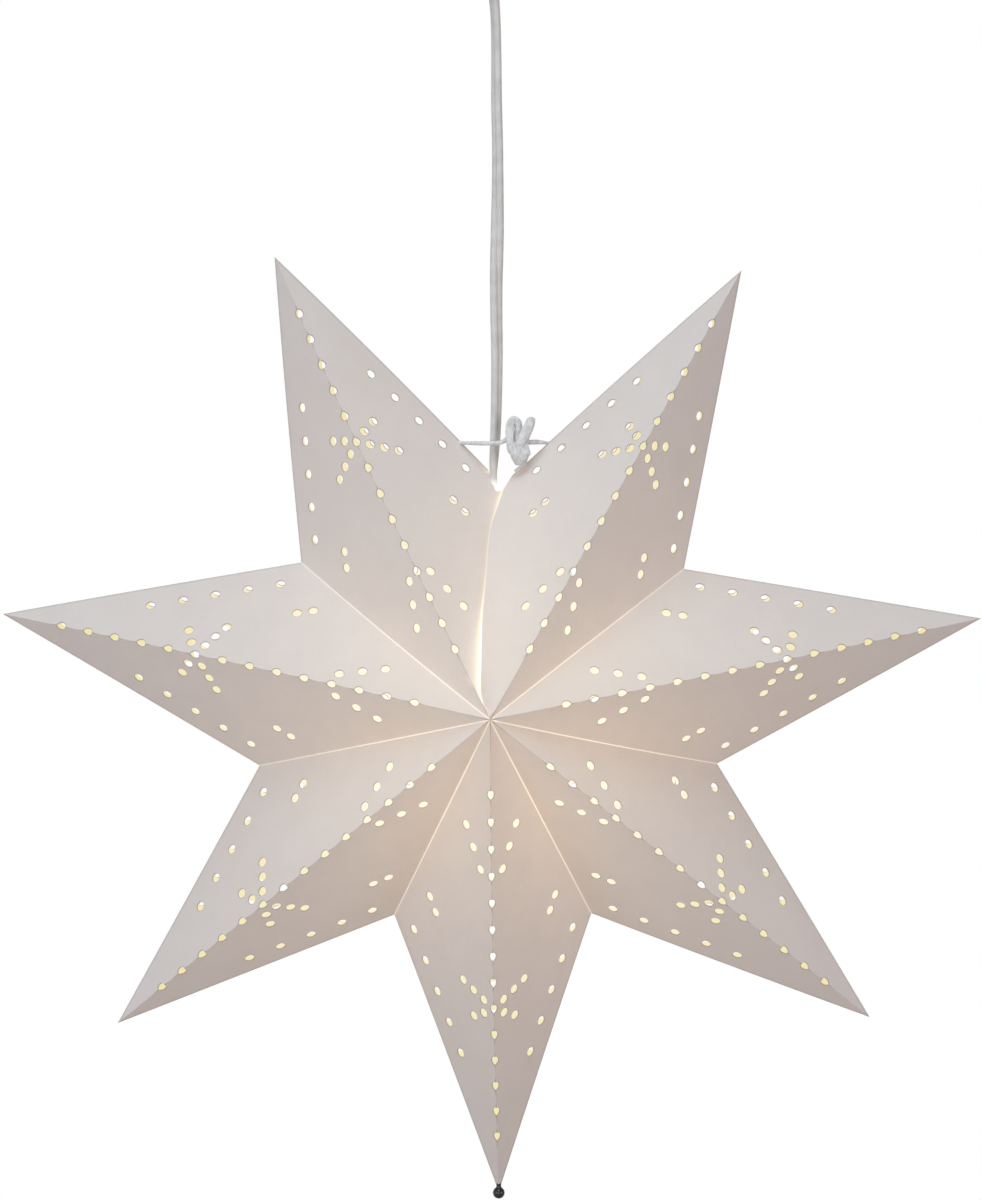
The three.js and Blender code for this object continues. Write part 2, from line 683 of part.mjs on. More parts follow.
const holderTop = holderTopHeight - starDrop;
const cableEnd = holderTop - grip.drop - grip.thickness - 2 * lead.radius;
const cableTop = terminalBottom - fitGap;
const cableRoute = [
  [0, 0, cableTop],
  [0, 0, nippleBottom],
  [0.4, 0, -112],
  [1.3, 0, -150],
  [1.9, 0, -190],
  [1.8, 0, -230],
  [1.5, 0, -262],
  [0.8, 0, -290],
  [0.2, 0, -312],
  [0, 0, -330],
  [0, 0, -345],
  [0, 0, cableEnd],
];
function cableSection() {
  const shape = new THREE.Shape();
  const half = (cable.width - cable.thickness) / 2;
  const radius = cable.thickness / 2;
  const cornerShares = [-0.375, -0.125, 0.125, 0.375];
  const rightEnd = cornerShares.map((share) => [
    half + radius * Math.cos(Math.PI * share),
    radius * Math.sin(Math.PI * share),
  ]);
  const leftEnd = rightEnd.map(([x, y]) => [-x, -y]);
  [...rightEnd, ...leftEnd].forEach(([x, y], i) => (i === 0 ? shape.moveTo(y, x) : shape.lineTo(y, x)));
  shape.closePath();
  return shape;
}
const cablePlaces = cableRoute.map((p) => new THREE.Vector3(...p));
const cablePath = new THREE.CatmullRomCurve3(cablePlaces, false, "centripetal");
const cableMaking = { steps: 24, bevelEnabled: false, extrudePath: cablePath };
const cableShape = new THREE.ExtrudeGeometry(cableSection(), cableMaking);
addMesh(group, "lamp_cable", cableShape, "cable");

// The lampholder, with heights counted down from its top

const capBottom = -holder.capHeight;
const shelf = -holder.skirtShelf;
const holderBottom = -holder.height;
const innerRadius = holder.radius - holder.wall;
const cableHole = Math.hypot(cable.width, cable.thickness) / 2 + fitGap;
addMesh(lampGroup, "holder_cap", turned([
  [cableHole, 0],
  [cableHole, -holder.capNeck - holder.wall],
  [innerRadius, -holder.coneHeight - holder.wall],
  [innerRadius, capBottom],
  [holder.radius, capBottom],
  [holder.radius, -holder.coneHeight],
  [cableHole + holder.wall, -holder.capNeck],
  [cableHole + holder.wall, 0],
  [cableHole, 0],
]), "plastic");
const gripShape = tubeWall(cableHole, grip.radius, -grip.drop - grip.thickness, -grip.drop, 16);
addMesh(lampGroup, "cord_grip", gripShape, "plastic");

const bodyTop = capBottom - fitGap;
const spigotTop = capBottom + grip.thickness;
const shelfInner = innerRadius - fitGap - holder.wall;
addMesh(lampGroup, "holder_body", turned([
  [innerRadius, holderBottom],
  [holder.radius, holderBottom],
  [holder.radius, bodyTop],
  [innerRadius - fitGap, bodyTop],
  [innerRadius - fitGap, spigotTop],
  [shelfInner, spigotTop],
  [shelfInner, shelf],
  [innerRadius, shelf],
  [innerRadius, holderBottom],
]), "plastic");

const blockTop = shelf - fitGap;
const blockBottom = blockTop - block.height;
const postSides = { left: -block.postSide, right: block.postSide };
const postBottom = blockTop - block.height / 2;
const blockDrills = Object.values(postSides).map((side) =>
  rod(block.screwRadius + fitGap, postBottom, blockTop + cutOverrun, 10).translate(side, 0, 0),
);
const blockShape = rod(innerRadius - fitGap, blockBottom, blockTop);
addMesh(lampGroup, "contact_block", cut(blockShape, ...blockDrills), "ceramic");
for (const [side, place] of Object.entries(postSides)) {
  addMesh(lampGroup, `terminal_screw_${side}`, turned([
    [0, postBottom + fitGap],
    [block.screwRadius, postBottom + fitGap],
    [block.screwRadius, blockTop + fitGap],
    [block.screwHeadRadius, blockTop + fitGap],
    [block.screwHeadRadius, blockTop + fitGap + block.screwHead],
    [0, blockTop + fitGap + block.screwHead],
  ], 10), "brass", place);
}
const leadTop = cableEnd - holderTop - fitGap;
const leadBottom = blockTop + 2 * fitGap + block.screwHead;
for (const [side, place] of Object.entries(postSides)) {
  const core = Math.sign(place) * lead.coreSide;
  const path = [
    [core, 0, leadTop],
    [core, 0, leadTop - lead.radius],
    [place, 0, leadBottom + lead.radius],
    [place, 0, leadBottom],
  ];
  addMesh(lampGroup, `core_wire_${side}`, tubeAlong(path, lead.radius, 6, 6), "brass");
}

// Screw shells, with rings for the thread's crests and roots

function threadProfile(outer, top) {
  const points = [];
  for (let i = 0; i < thread.count; i += 1) {
    points.push([outer - thread.depth, top - i * thread.pitch], [outer, top - (i + 0.5) * thread.pitch]);
  }
  points.push([outer - thread.depth, top - thread.count * thread.pitch]);
  return points;
}
const shellTop = blockBottom - fitGap;
const threadLength = thread.count * thread.pitch;
const socketRadius = thread.radius + fitGap;
const socketProfile = threadProfile(socketRadius, shellTop - thread.pitch);
const shellBottom = shellTop - thread.pitch - threadLength;
addMesh(lampGroup, "screw_shell", turned([
  [socketRadius, shellTop],
  ...socketProfile,
  [socketRadius + thread.wall, shellBottom],
  [socketRadius + thread.wall, shellTop],
  [socketRadius, shellTop],
], 16), "brass");

const strip = new THREE.Shape();
strip.moveTo(-contactStrip.reach, 0);
strip.lineTo(contactStrip.reach, 0);
strip.lineTo(contactStrip.reach, -contactStrip.thickness);
strip.lineTo(contactStrip.reach / 2, -contactStrip.thickness);
strip.lineTo(0, -contactStrip.drop);
strip.lineTo(-contactStrip.reach / 4, -contactStrip.drop);
strip.lineTo(-contactStrip.reach / 4, -contactStrip.drop + contactStrip.thickness);
strip.lineTo(contactStrip.reach / 4, -contactStrip.thickness);
strip.lineTo(-contactStrip.reach, -contactStrip.thickness);
strip.closePath();
const stripShape = new THREE.ExtrudeGeometry(strip, { depth: contactStrip.width, bevelEnabled: false });
stripShape.translate(0, 0, -contactStrip.width / 2);
stripShape.rotateX(Math.PI / 2);
addMesh(lampGroup, "centre_contact", stripShape, "brass", 0, 0, shellTop);

// The bulb: tip contact, glass insulator, screw cap, glass, stem and filament

const tipTop = shellTop - contactStrip.drop - fitGap;
const insulatorTop = tipTop - bulb.tipHeight - fitGap;
const capTop = shellTop - 2 * thread.pitch;
const bulbCapRadius = thread.radius;
const capInner = bulbCapRadius - thread.depth - thread.wall;
const capProfile = threadProfile(bulbCapRadius, capTop);
const capEnd = capTop - threadLength;
const capSkirtEnd = capEnd - bulb.capSkirt;
addMesh(lampGroup, "bulb_tip_contact", rod(bulb.tipRadius, tipTop - bulb.tipHeight, tipTop, 12), "steel");
addMesh(lampGroup, "bulb_insulator", turned([
  [0, capTop - fitGap],
  [capInner - fitGap, capTop - fitGap],
  [capInner - fitGap, capTop],
  [bulb.tipRadius, insulatorTop],
  [0, insulatorTop],
], 16), "blackGlass");
addMesh(lampGroup, "bulb_cap", turned([
  [capInner, capSkirtEnd],
  [bulbCapRadius - thread.depth, capSkirtEnd],
  ...capProfile.reverse(),
  [capInner, capTop],
  [capInner, capSkirtEnd],
], 16), "brass");

const glassTop = capTop - threadLength / 2;
const glassBottom = tipTop - bulb.length;
const glassCentre = glassBottom + bulb.radius;
const glassSteps = 9;
const glassTurnShare = 0.39;
function glassProfile(inset) {
  const points = [];
  const radius = bulb.radius - inset;
  for (let i = 0; i <= glassSteps; i += 1) {
    const turn = -Math.PI / 2 + 2 * Math.PI * glassTurnShare * (i / glassSteps);
    points.push([Math.max(radius * Math.cos(turn), 0), glassCentre + radius * Math.sin(turn)]);
  }
  points[0][0] = 0;
  points.push([bulb.neckRadius - inset, capSkirtEnd - fitGap]);
  points.push([bulb.neckRadius - inset, glassTop]);
  return points;
}
const glassShape = turned([...glassProfile(0), ...glassProfile(bulb.wall).reverse()]);
addMesh(lampGroup, "bulb_glass", glassShape, "opalGlass");
const stemTop = glassTop - fitGap;
const stemBottom = capSkirtEnd - bulbStem.length;
const flareRadius = bulb.neckRadius - bulb.wall - fitGap;
addMesh(lampGroup, "bulb_stem", turned([
  [0, stemBottom],
  [bulbStem.radius, stemBottom],
  [bulbStem.radius, stemTop - 2 * bulbStem.flare],
  [flareRadius, stemTop - bulbStem.flare],
  [flareRadius, stemTop],
  [0, stemTop],
]), "opalGlass");
const filamentTop = stemBottom - fitGap;
const filamentPath = [
  [-bulbStem.radius / 2, 0, filamentTop],
  [-filament.halfWidth, 0, filamentTop - filament.drop / 3],
  [-filament.halfWidth / 2, 0, filamentTop - filament.drop],
  [filament.halfWidth / 2, 0, filamentTop - filament.drop],
  [filament.halfWidth, 0, filamentTop - filament.drop / 3],
  [bulbStem.radius / 2, 0, filamentTop],
];
addMesh(lampGroup, "bulb_filament", tubeAlong(filamentPath, filament.radius, 18, 6), "brass");

export default group;
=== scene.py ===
import bpy
import bmesh
import math
import numpy as np
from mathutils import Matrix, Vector
from mathutils.geometry import delaunay_2d_cdt


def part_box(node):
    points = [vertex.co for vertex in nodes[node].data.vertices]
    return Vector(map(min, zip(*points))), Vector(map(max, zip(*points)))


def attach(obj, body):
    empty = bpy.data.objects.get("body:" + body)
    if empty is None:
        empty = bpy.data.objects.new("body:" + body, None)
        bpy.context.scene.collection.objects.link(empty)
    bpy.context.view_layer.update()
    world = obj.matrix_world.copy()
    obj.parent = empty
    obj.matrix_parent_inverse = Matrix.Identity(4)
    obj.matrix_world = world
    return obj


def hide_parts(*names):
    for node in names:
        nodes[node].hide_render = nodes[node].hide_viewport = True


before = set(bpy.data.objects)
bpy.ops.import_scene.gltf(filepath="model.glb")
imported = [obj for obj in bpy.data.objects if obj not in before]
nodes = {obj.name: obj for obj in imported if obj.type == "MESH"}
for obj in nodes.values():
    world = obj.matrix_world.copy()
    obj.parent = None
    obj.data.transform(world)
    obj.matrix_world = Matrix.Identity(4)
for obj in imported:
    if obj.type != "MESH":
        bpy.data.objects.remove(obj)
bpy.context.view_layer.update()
mm = 0.001
gap = 0.3  # air between neighbouring parts, in mm
crispAngle = 32  # edges sharper than this stay crisp, in degrees
starCentre = np.array([-1.3, 0.0, -419.0])  # in the part's frame, in mm
bulbCentre = (0.0, 0.0, -0.429)
print("frame loaded")


# A mesh, a lamp or a camera becomes an object of the scene, at the origin
def addObject(name, data):
    thing = bpy.data.objects.new(name, data)
    bpy.context.scene.collection.objects.link(thing)
    return thing


# camera: level with the upper points, looking a little down at the star

camera = {"side": 0.34, "distance": 1540.3, "rise": 144.5, "pitch": 3.638, "lens": 103.3, "sensor": 36}
cameraData = bpy.data.cameras.new("lanternCamera")
cameraData.lens = camera["lens"]
cameraData.sensor_width = camera["sensor"]
cameraData.clip_end = 50
cameraObject = addObject("lanternCamera", cameraData)
cameraPlace = starCentre + np.array([camera["side"], -camera["distance"], camera["rise"]])
cameraObject.location = (cameraPlace * mm).tolist()
cameraObject.rotation_euler = (math.radians(90 - camera["pitch"]), 0, 0)
bpy.context.scene.camera = cameraObject


# mesh helpers

# Points closer than a hair are joined, which closes seams and poles, and all faces turn outwards
def closeMesh(mesh):
    work = bmesh.new()
    work.from_mesh(mesh)
    bmesh.ops.remove_doubles(work, verts=work.verts, dist=2e-7)
    bmesh.ops.dissolve_degenerate(work, edges=work.edges, dist=1e-8)
    bmesh.ops.recalc_face_normals(work, faces=work.faces)
    work.to_mesh(mesh)
    work.free()


# Smooth shading, with every edge past the given angle kept crisp
def smoothBy(mesh, degrees):
    mesh.shade_smooth()
    mesh.set_sharp_from_angle(angle=math.radians(degrees))


# A grid of points P[i, j] in mm becomes quads between neighbours, closed round i and round j if asked
def gridMesh(name, grid, closeI=False, closeJ=False, sharp=35):
    rows, columns = grid.shape[:2]
    index = np.arange(rows * columns).reshape(rows, columns)
    if closeI:
        index = np.vstack([index, index[:1]])
    if closeJ:
        index = np.hstack([index, index[:, :1]])
    corners = [index[:-1, :-1], index[:-1, 1:], index[1:, 1:], index[1:, :-1]]
    quads = np.stack(corners, axis=-1).reshape(-1, 4)
    mesh = bpy.data.meshes.new(name)
    mesh.from_pydata((grid.reshape(-1, 3) * mm).tolist(), [], quads.tolist())
    closeMesh(mesh)
    smoothBy(mesh, sharp)
    return addObject(name, mesh)


# A profile of (radius, height) turned about a vertical line: x = r cos a, y = r sin a, z = height
def turned(name, profile, place=(0, 0, 0), sides=72, bevel=0.0):
    profile = np.array(profile, float)
    turn = np.linspace(0, 2 * np.pi, sides, endpoint=False)
    radius, height = profile[:, 0], profile[:, 1]
    grid = np.stack([
        place[0] + radius[:, None] * np.cos(turn),
        place[1] + radius[:, None] * np.sin(turn),
        place[2] + np.repeat(height[:, None], sides, axis=1),
    ], axis=-1)
    closed = np.allclose(profile[0], profile[-1])
    piece = gridMesh(name, grid[:-1] if closed else grid, closeI=closed, closeJ=True)
    if bevel:
        addBevel(piece, bevel)
    return piece


# Crisp edges become three small facets of the given width
def addBevel(piece, width):
    bevel = piece.modifiers.new("softEdges", "BEVEL")
    bevel.width = width * mm
    bevel.segments = 3
    bevel.limit_method = "ANGLE"
    bevel.angle_limit = math.radians(crispAngle)


# The piece's modifiers become its mesh, and its edges past the given angle stay crisp
def settle(piece, degrees):
    evaluated = piece.evaluated_get(bpy.context.evaluated_depsgraph_get())
    mesh = bpy.data.meshes.new_from_object(evaluated)
    piece.modifiers.clear()
    piece.data = mesh
    smoothBy(mesh, degrees)


# The cutter's shape is taken out of the piece
def carve(piece, cutter):
    knife = piece.modifiers.new("cut", "BOOLEAN")
    knife.object = cutter
    knife.solver = "EXACT"
    settle(piece, crispAngle)
    bpy.data.objects.remove(cutter)


# A smooth line through a few places: cubic interpolation of each coordinate over the chord length
def smoothLine(places, steps):
    places = np.array(places, float)
    chords = np.linalg.norm(np.diff(places, axis=0), axis=1)
    lengths = np.concatenate([[0], np.cumsum(chords)])
    slopes = np.gradient(places, lengths, axis=0)
    want = np.linspace(0, lengths[-1], steps)
    k = np.clip(np.searchsorted(lengths, want, side="right") - 1, 0, len(lengths) - 2)
    span = (lengths[k + 1] - lengths[k])[:, None]
    t = ((want - lengths[k])[:, None]) / span
    a, b = places[k], places[k + 1]
    return (
        a * (2 * t**3 - 3 * t**2 + 1) + slopes[k] * span * (t**3 - 2 * t**2 + t)
        + b * (3 * t**2 - 2 * t**3) + slopes[k + 1] * span * (t**3 - t**2)
    )


# A section carried along a line: each ring is the line's point plus the section along two directions
# that are square to the line, made from one fixed side direction
def sweptGrid(line, section, side=(1, 0, 0), twist=None, swell=None):
    tangent = np.gradient(line, axis=0)
    tangent /= np.linalg.norm(tangent, axis=1, keepdims=True)
    across = np.array(side, float) - tangent * (tangent @ np.array(side, float))[:, None]
    across /= np.linalg.norm(across, axis=1, keepdims=True)
    along = np.cross(tangent, across)
    if twist is not None:
        c, s = np.cos(twist)[:, None], np.sin(twist)[:, None]
        across, along = across * c + along * s, along * c - across * s
    size = np.ones(len(line)) if swell is None else swell
    size = size[:, None, None]
    return (
        line[:, None, :]
        + section[None, :, :1] * size * across[:, None, :]
        + section[None, :, 1:] * size * along[:, None, :]
    )


# Both ends of a tube are closed by rings drawn in to its middle: flat, or as half a ball, where each
# ring moves out by the radius times sin a and shrinks by cos a
def capped(grid, roundRadius=0.0):
    turns = np.linspace(0, np.pi / 2, 5)[1:] if roundRadius else np.array([np.pi / 2])
    middles = grid.mean(axis=1, keepdims=True)
    outwards = middles[0] - middles[1], middles[-1] - middles[-2]
    rings = []
    for middle, outward, ring in zip((middles[0], middles[-1]), outwards, (grid[0], grid[-1])):
        outward = outward / np.linalg.norm(outward) * roundRadius
        fan = [middle + outward * np.sin(a) + (ring - middle) * np.cos(a) for a in turns]
        rings.append(np.stack(fan))
    return np.concatenate([rings[0][::-1], grid, rings[1]])


# Points (r cos a, r sin a) at even steps of the angle
def circle(radius, count=24):
    turn = np.linspace(0, 2 * np.pi, count, endpoint=False)
    return np.stack([radius * np.cos(turn), radius * np.sin(turn)], axis=1)


# A circle carried along a smooth line, scaled by the swell on the way and squeezed by flat
def roundTube(name, places, radius, steps=48, side=(0, 1, 0), count=24, swell=None, roundEnds=False,
              flat=(1, 1)):
    line = smoothLine(places, steps)
    if swell is not None:
        swell = np.interp(np.linspace(0, 1, steps), np.linspace(0, 1, len(swell)), swell)
    grid = sweptGrid(line, circle(radius, count) * flat, side, swell=swell)
    endRadius = radius * (swell[0] if swell is not None else 1) if roundEnds else 0.0
    return gridMesh(name, capped(grid, endRadius), closeJ=True, sharp=50)


# A closed ring of wire: its line is two half circles with a straight between them on either side
def ringTube(name, bendRadius, wireRadius, straight, place, side, steps=32):
    half = np.linspace(0, np.pi, steps)
    turn = np.concatenate([half, half + np.pi])
    lift = np.repeat([straight / 2, -straight / 2], steps)
    side, up = np.array(side, float), np.array((0.0, 0.0, 1.0))
    outwards = np.cos(turn)[:, None] * side + np.sin(turn)[:, None] * up
    middle = np.array(place, float) + bendRadius * outwards + lift[:, None] * up
    small = np.linspace(0, 2 * np.pi, 24, endpoint=False)[None, :, None]
    grid = (
        middle[:, None, :]
        + wireRadius * np.cos(small) * outwards[:, None, :]
        + wireRadius * np.sin(small) * np.cross(side, up)
    )
    return gridMesh(name, grid, closeI=True, closeJ=True, sharp=60)


# A box between two corners: its four upright edges at the low and the high level, capped flat
def boxPiece(name, low, high, bevel=0.4):
    low, high = np.array(low, float), np.array(high, float)
    corners = np.array([[0, 0], [1, 0], [1, 1], [0, 1]])
    ring = low[:2] + corners * (high - low)[:2]
    grid = np.stack([np.column_stack([ring, np.full(4, level)]) for level in (low[2], high[2])])
    piece = gridMesh(name, capped(grid), closeJ=True)
    addBevel(piece, bevel)
    return piece


# Several meshes become one piece
def together(name, *pieces):
    work = bmesh.new()
    for piece in pieces:
        settle(piece, 35)
        work.from_mesh(piece.data)
        bpy.data.objects.remove(piece)
    mesh = bpy.data.meshes.new(name)
    work.to_mesh(mesh)
    work.free()
    return addObject(name, mesh)


# A finished piece takes its material and its body, and the node that it stands for is hidden
def fit(piece, material, body, node):
    dress(piece, material)
    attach(piece, body)
    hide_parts(node)


# material helpers

# A principled material with its constants on the shader's own sockets
def newMaterial(name, color, roughness, metallic=0.0, **extra):
    material = bpy.data.materials.new(name)
    material.use_nodes = True
    tree = material.node_tree
    shader = tree.nodes["Principled BSDF"]
    shader.inputs["Base Color"].default_value = (*color, 1)
    shader.inputs["Roughness"].default_value = roughness
    shader.inputs["Metallic"].default_value = metallic
    for socket, value in extra.items():
        shader.inputs[socket.replace("_", " ")].default_value = value
    return material, tree, shader


# The piece's one material
def dress(piece, material):
    piece.data.materials.clear()
    piece.data.materials.append(material)


# A node with its settings, each one a property of the node or else the value of an input
def addNode(tree, kind, **settings):
    node = tree.nodes.new(kind)
    for name, value in settings.items():
        if hasattr(node, name):
            setattr(node, name, value)
        else:
            node.inputs[name.replace("_", " ")].default_value = value
    return node


# One operation on numbers or sockets
def calculate(tree, operation, first, second=None, clamp=False):
    node = addNode(tree, "ShaderNodeMath", operation=operation, use_clamp=clamp)
    for socket, value in zip(node.inputs, (first, second)):
        if value is None:
            continue
        if isinstance(value, (int, float)):
            socket.default_value = value
        else:
            tree.links.new(value, socket)
    return node.outputs[0]


# The product of two numbers or sockets
def times(tree, first, second):
    return calculate(tree, "MULTIPLY", first, second)


# The sum of two numbers or sockets
def plus(tree, first, second):
    return calculate(tree, "ADD", first, second)


# One at a line and nothing from the width on: 1 less the distance over the width
def lineAt(tree, distance, width):
    return calculate(tree, "SUBTRACT", 1.0, calculate(tree, "DIVIDE", distance, width), clamp=True)


# A value carried evenly from one span (low, high) to another
def mapRange(tree, value, start, end, **settings):
    node = addNode(tree, "ShaderNodeMapRange", **settings)
    for socket, number in zip(node.inputs[1:5], (*start, *end)):
        socket.default_value = number
    tree.links.new(value, node.inputs[0])
    return node.outputs[0]


# Places in the object's own frame, which is the part's frame
def objectPlaces(tree):
    return addNode(tree, "ShaderNodeTexCoord").outputs["Object"]


# A value that the mesh carries at its points
def attribute(tree, name, output="Fac"):
    return addNode(tree, "ShaderNodeAttribute", attribute_name=name).outputs[output]


# A vector's three numbers
def split(tree, vector):
    node = addNode(tree, "ShaderNodeSeparateXYZ")
    tree.links.new(vector, node.inputs[0])
    return node.outputs


# The distance of each place from one centre
def distanceFrom(tree, places, centre):
    node = addNode(tree, "ShaderNodeVectorMath", operation="DISTANCE")
    tree.links.new(places, node.inputs[0])
    node.inputs[1].default_value = centre
    return node.outputs["Value"]


# Fractal noise over the places, with its scale in features per metre
def noise(tree, scale, detail=3.0, places=None, roughness=0.5):
    node = addNode(tree, "ShaderNodeTexNoise", Scale=scale, Detail=detail, Roughness=roughness)
    tree.links.new(places or objectPlaces(tree), node.inputs["Vector"])
    return node.outputs["Fac"]


# A socket takes a colour that goes evenly from the first to the second as the value crosses the span
def blendColor(tree, shader, socket, value, first, second, span=(0.3, 0.7)):
    node = addNode(tree, "ShaderNodeValToRGB")
    for element, place, color in zip(node.color_ramp.elements, span, (first, second)):
        element.position = place
        element.color = (*color, 1)
    tree.links.new(value, node.inputs["Fac"])
    tree.links.new(node.outputs["Color"], shader.inputs[socket])


# One colour times each share, for the dark and the light end of a ramp
def shades(color, *shares):
    return [tuple(min(c * share, 1.0) for c in color) for share in shares]


# Relief of the given depth in mm
def bump(tree, shader, height, strength, depth):
    node = addNode(tree, "ShaderNodeBump", Strength=strength, Distance=depth * mm)
    tree.links.new(height, node.inputs["Height"])
    tree.links.new(node.outputs["Normal"], shader.inputs["Normal"])


# A sum of colours, each times its own amount
def mixedLight(tree, *parts):
    total = None
    for color, amount in parts:
        part = addNode(tree, "ShaderNodeVectorMath", operation="SCALE")
        part.inputs[0].default_value = color
        tree.links.new(amount, part.inputs["Scale"])
        if total is None:
            total = part.outputs[0]
            continue
        adding = addNode(tree, "ShaderNodeVectorMath", operation="ADD")
        tree.links.new(total, adding.inputs[0])
        tree.links.new(part.outputs[0], adding.inputs[1])
        total = adding.outputs[0]
    return total


# plain finishes: tone and gloss follow slow noise, and a fine grain stands in relief; the grain is its
# scale, its strength and its depth in mm

finishes = {
    "whitePaint": {"color": (0.80, 0.785, 0.76), "roughness": 0.4, "tone": 0.06, "grain": (700, 0.25, 0.05)},
    "mouldedPlastic": {
        "color": (0.80, 0.79, 0.77), "roughness": 0.36, "tone": 0.05, "grain": (1600, 0.3, 0.04),
    },
    # painted light: the lampholder's plastic glows faintly warm, as if lit by the bulb beside it
    "litPlastic": {
        "color": (0.80, 0.79, 0.77), "roughness": 0.36, "tone": 0.05, "grain": (1600, 0.3, 0.04),
        "extra": {"Emission_Color": (0.66, 0.64, 0.56, 1), "Emission_Strength": 0.4},
    },
    "platedSteel": {
        "color": (0.56, 0.57, 0.58), "roughness": 0.27, "metallic": 1.0, "tone": 0.16,
        "grain": (500, 0.2, 0.03), "stretch": (1, 1, 0.08),
    },
    "plainBrass": {
        "color": (0.66, 0.47, 0.19), "roughness": 0.3, "metallic": 1.0, "tone": 0.25,
        "grain": (600, 0.2, 0.03),
    },
    "copperCore": {
        "color": (0.72, 0.37, 0.2), "roughness": 0.34, "metallic": 1.0, "tone": 0.25,
        "grain": (900, 0.3, 0.05), "stretch": (1, 1, 0.1),
    },
    "glazedCeramic": {
        "color": (0.82, 0.79, 0.73), "roughness": 0.14, "tone": 0.07, "grain": (240, 0.3, 0.05),
        "extra": {"Coat_Weight": 0.5, "Coat_Roughness": 0.06},
    },
    "blackInsulator": {
        "color": (0.012, 0.012, 0.015), "roughness": 0.12, "tone": 0.4, "grain": (300, 0.2, 0.04),
    },
    "darkBall": {
        "color": (0.035, 0.033, 0.033), "roughness": 0.16, "metallic": 1.0, "tone": 0.5,
        "grain": (900, 0.12, 0.02),
    },
    "clearStem": {
        "color": (0.9, 0.93, 0.92), "roughness": 0.08, "tone": 0.04, "grain": (300, 0.1, 0.02),
        "extra": {"Transmission_Weight": 0.8, "IOR": 1.5},
    },
}


# The tone is the mean of slow and fine noise, and the gloss follows the slow noise alone
def finishMaterial(name):
    values = finishes[name]
    color, roughness = values["color"], values["roughness"]
    scale, strength, depth = values["grain"]
    material, tree, shader = newMaterial(name, color, roughness, values.get("metallic", 0.0),
                                         **values.get("extra", {}))
    places = objectPlaces(tree)
    stretched = addNode(tree, "ShaderNodeMapping")
    stretched.inputs["Scale"].default_value = values.get("stretch", (1, 1, 1))
    tree.links.new(places, stretched.inputs["Vector"])
    slow = noise(tree, scale / 6, 3, places)
    fine = noise(tree, scale, 4, stretched.outputs[0], 0.6)
    dark, light = shades(color, 1 - values["tone"], 1 + values["tone"])
    blendColor(tree, shader, "Base Color", times(tree, plus(tree, slow, fine), 0.5), dark, light)
    gloss = mapRange(tree, slow, (0.3, 0.7), (roughness * 0.8, roughness * 1.25))
    tree.links.new(gloss, shader.inputs["Roughness"])
    bump(tree, shader, fine, strength, depth)
    return material


made = {name: finishMaterial(name) for name in finishes}
print("finishes made")

# ceiling plate, hook, nut, link and swivel eye: radii and heights in mm. Small numbers in an outline, here
# and below, are its chamfers and fillets

fitting = {
    "plateRadius": 30, "plateBottom": -4, "edge": 1, "plateSides": 96, "plateBevel": 0.25,
    "bossRadius": 7, "bossBottom": -12, "bossEdge": 0.6, "bossFoot": 1.6, "holeRadius": 2.0, "holeTop": -4.7,
    "screwSide": 19, "screwRadius": 2, "headRadius": 4.2, "headTop": -1.4, "screwPoint": 22,
    "threadDepth": 0.45, "threadTurns": 11, "slotWidth": 1.0, "slotDepth": 1.1,
    "hookWire": 1.7, "hookRadius": 8, "hookTop": -5.8, "stemEnd": -16, "ringCentre": -26,
    "hookTurnShares": (0.19, -0.64),
    "nutRadius": 5, "nutBottom": -15.3, "nutTop": -12.3, "nutChamfer": 0.5, "nutFaceShare": 0.9,
    "linkWire": 1.3, "linkRadius": 5.5, "linkStraight": 10, "linkCentre": -41.2,
    "eyeWire": 1.3, "eyeRadius": 4.5, "eyeCentre": -53.3,
    "eyeHead": (3.6, -65.4, -67.4, 0.5),  # its radius, top, bottom and chamfer
}
f = fitting
plate = turned("ceiling_plate_painted", [
    (0, 0), (f["plateRadius"] - f["edge"], 0), (f["plateRadius"], -f["edge"]),
    (f["plateRadius"], f["plateBottom"] + f["edge"]), (f["plateRadius"] - f["edge"], f["plateBottom"]),
    (f["bossRadius"] + f["bossFoot"], f["plateBottom"]), (f["bossRadius"] + 0.5, f["plateBottom"] - 0.5),
    (f["bossRadius"], f["plateBottom"] - f["bossFoot"]), (f["bossRadius"], f["bossBottom"] + f["bossEdge"]),
    (f["bossRadius"] - f["bossEdge"], f["bossBottom"]), (f["holeRadius"], f["bossBottom"]),
    (f["holeRadius"], f["holeTop"]), (0, f["holeTop"]),
], sides=f["plateSides"], bevel=f["plateBevel"])


# The countersunk hole in the plate: the screw's head and shank, each wider by the spread
def screwHoleProfile(spread):
    low = f["plateBottom"] - 1
    head, shank = f["headRadius"] + spread, f["screwRadius"] + spread
    return [(0, low), (head, low), (head, f["plateBottom"]), (shank, f["headTop"]), (shank, 1), (0, 1)]


# The screw: a countersunk head, rings of thread at an even pitch, and a point
def screwProfile():
    low, head, shank = f["plateBottom"], f["headRadius"], f["screwRadius"]
    root, start, end = shank - f["threadDepth"], 0.5, f["screwPoint"] - 4
    rings = [(0, low), (head - 0.2, low), (head, low + 0.2), (shank, f["headTop"])]
    for k in range(f["threadTurns"]):
        at = start + (end - start) * k / f["threadTurns"]
        rings += [(root, at), (shank, at + 0.55), (shank, at + 0.75), (root, at + 1.3)]
    return rings + [(root, f["screwPoint"] - 3.5), (0, f["screwPoint"])]


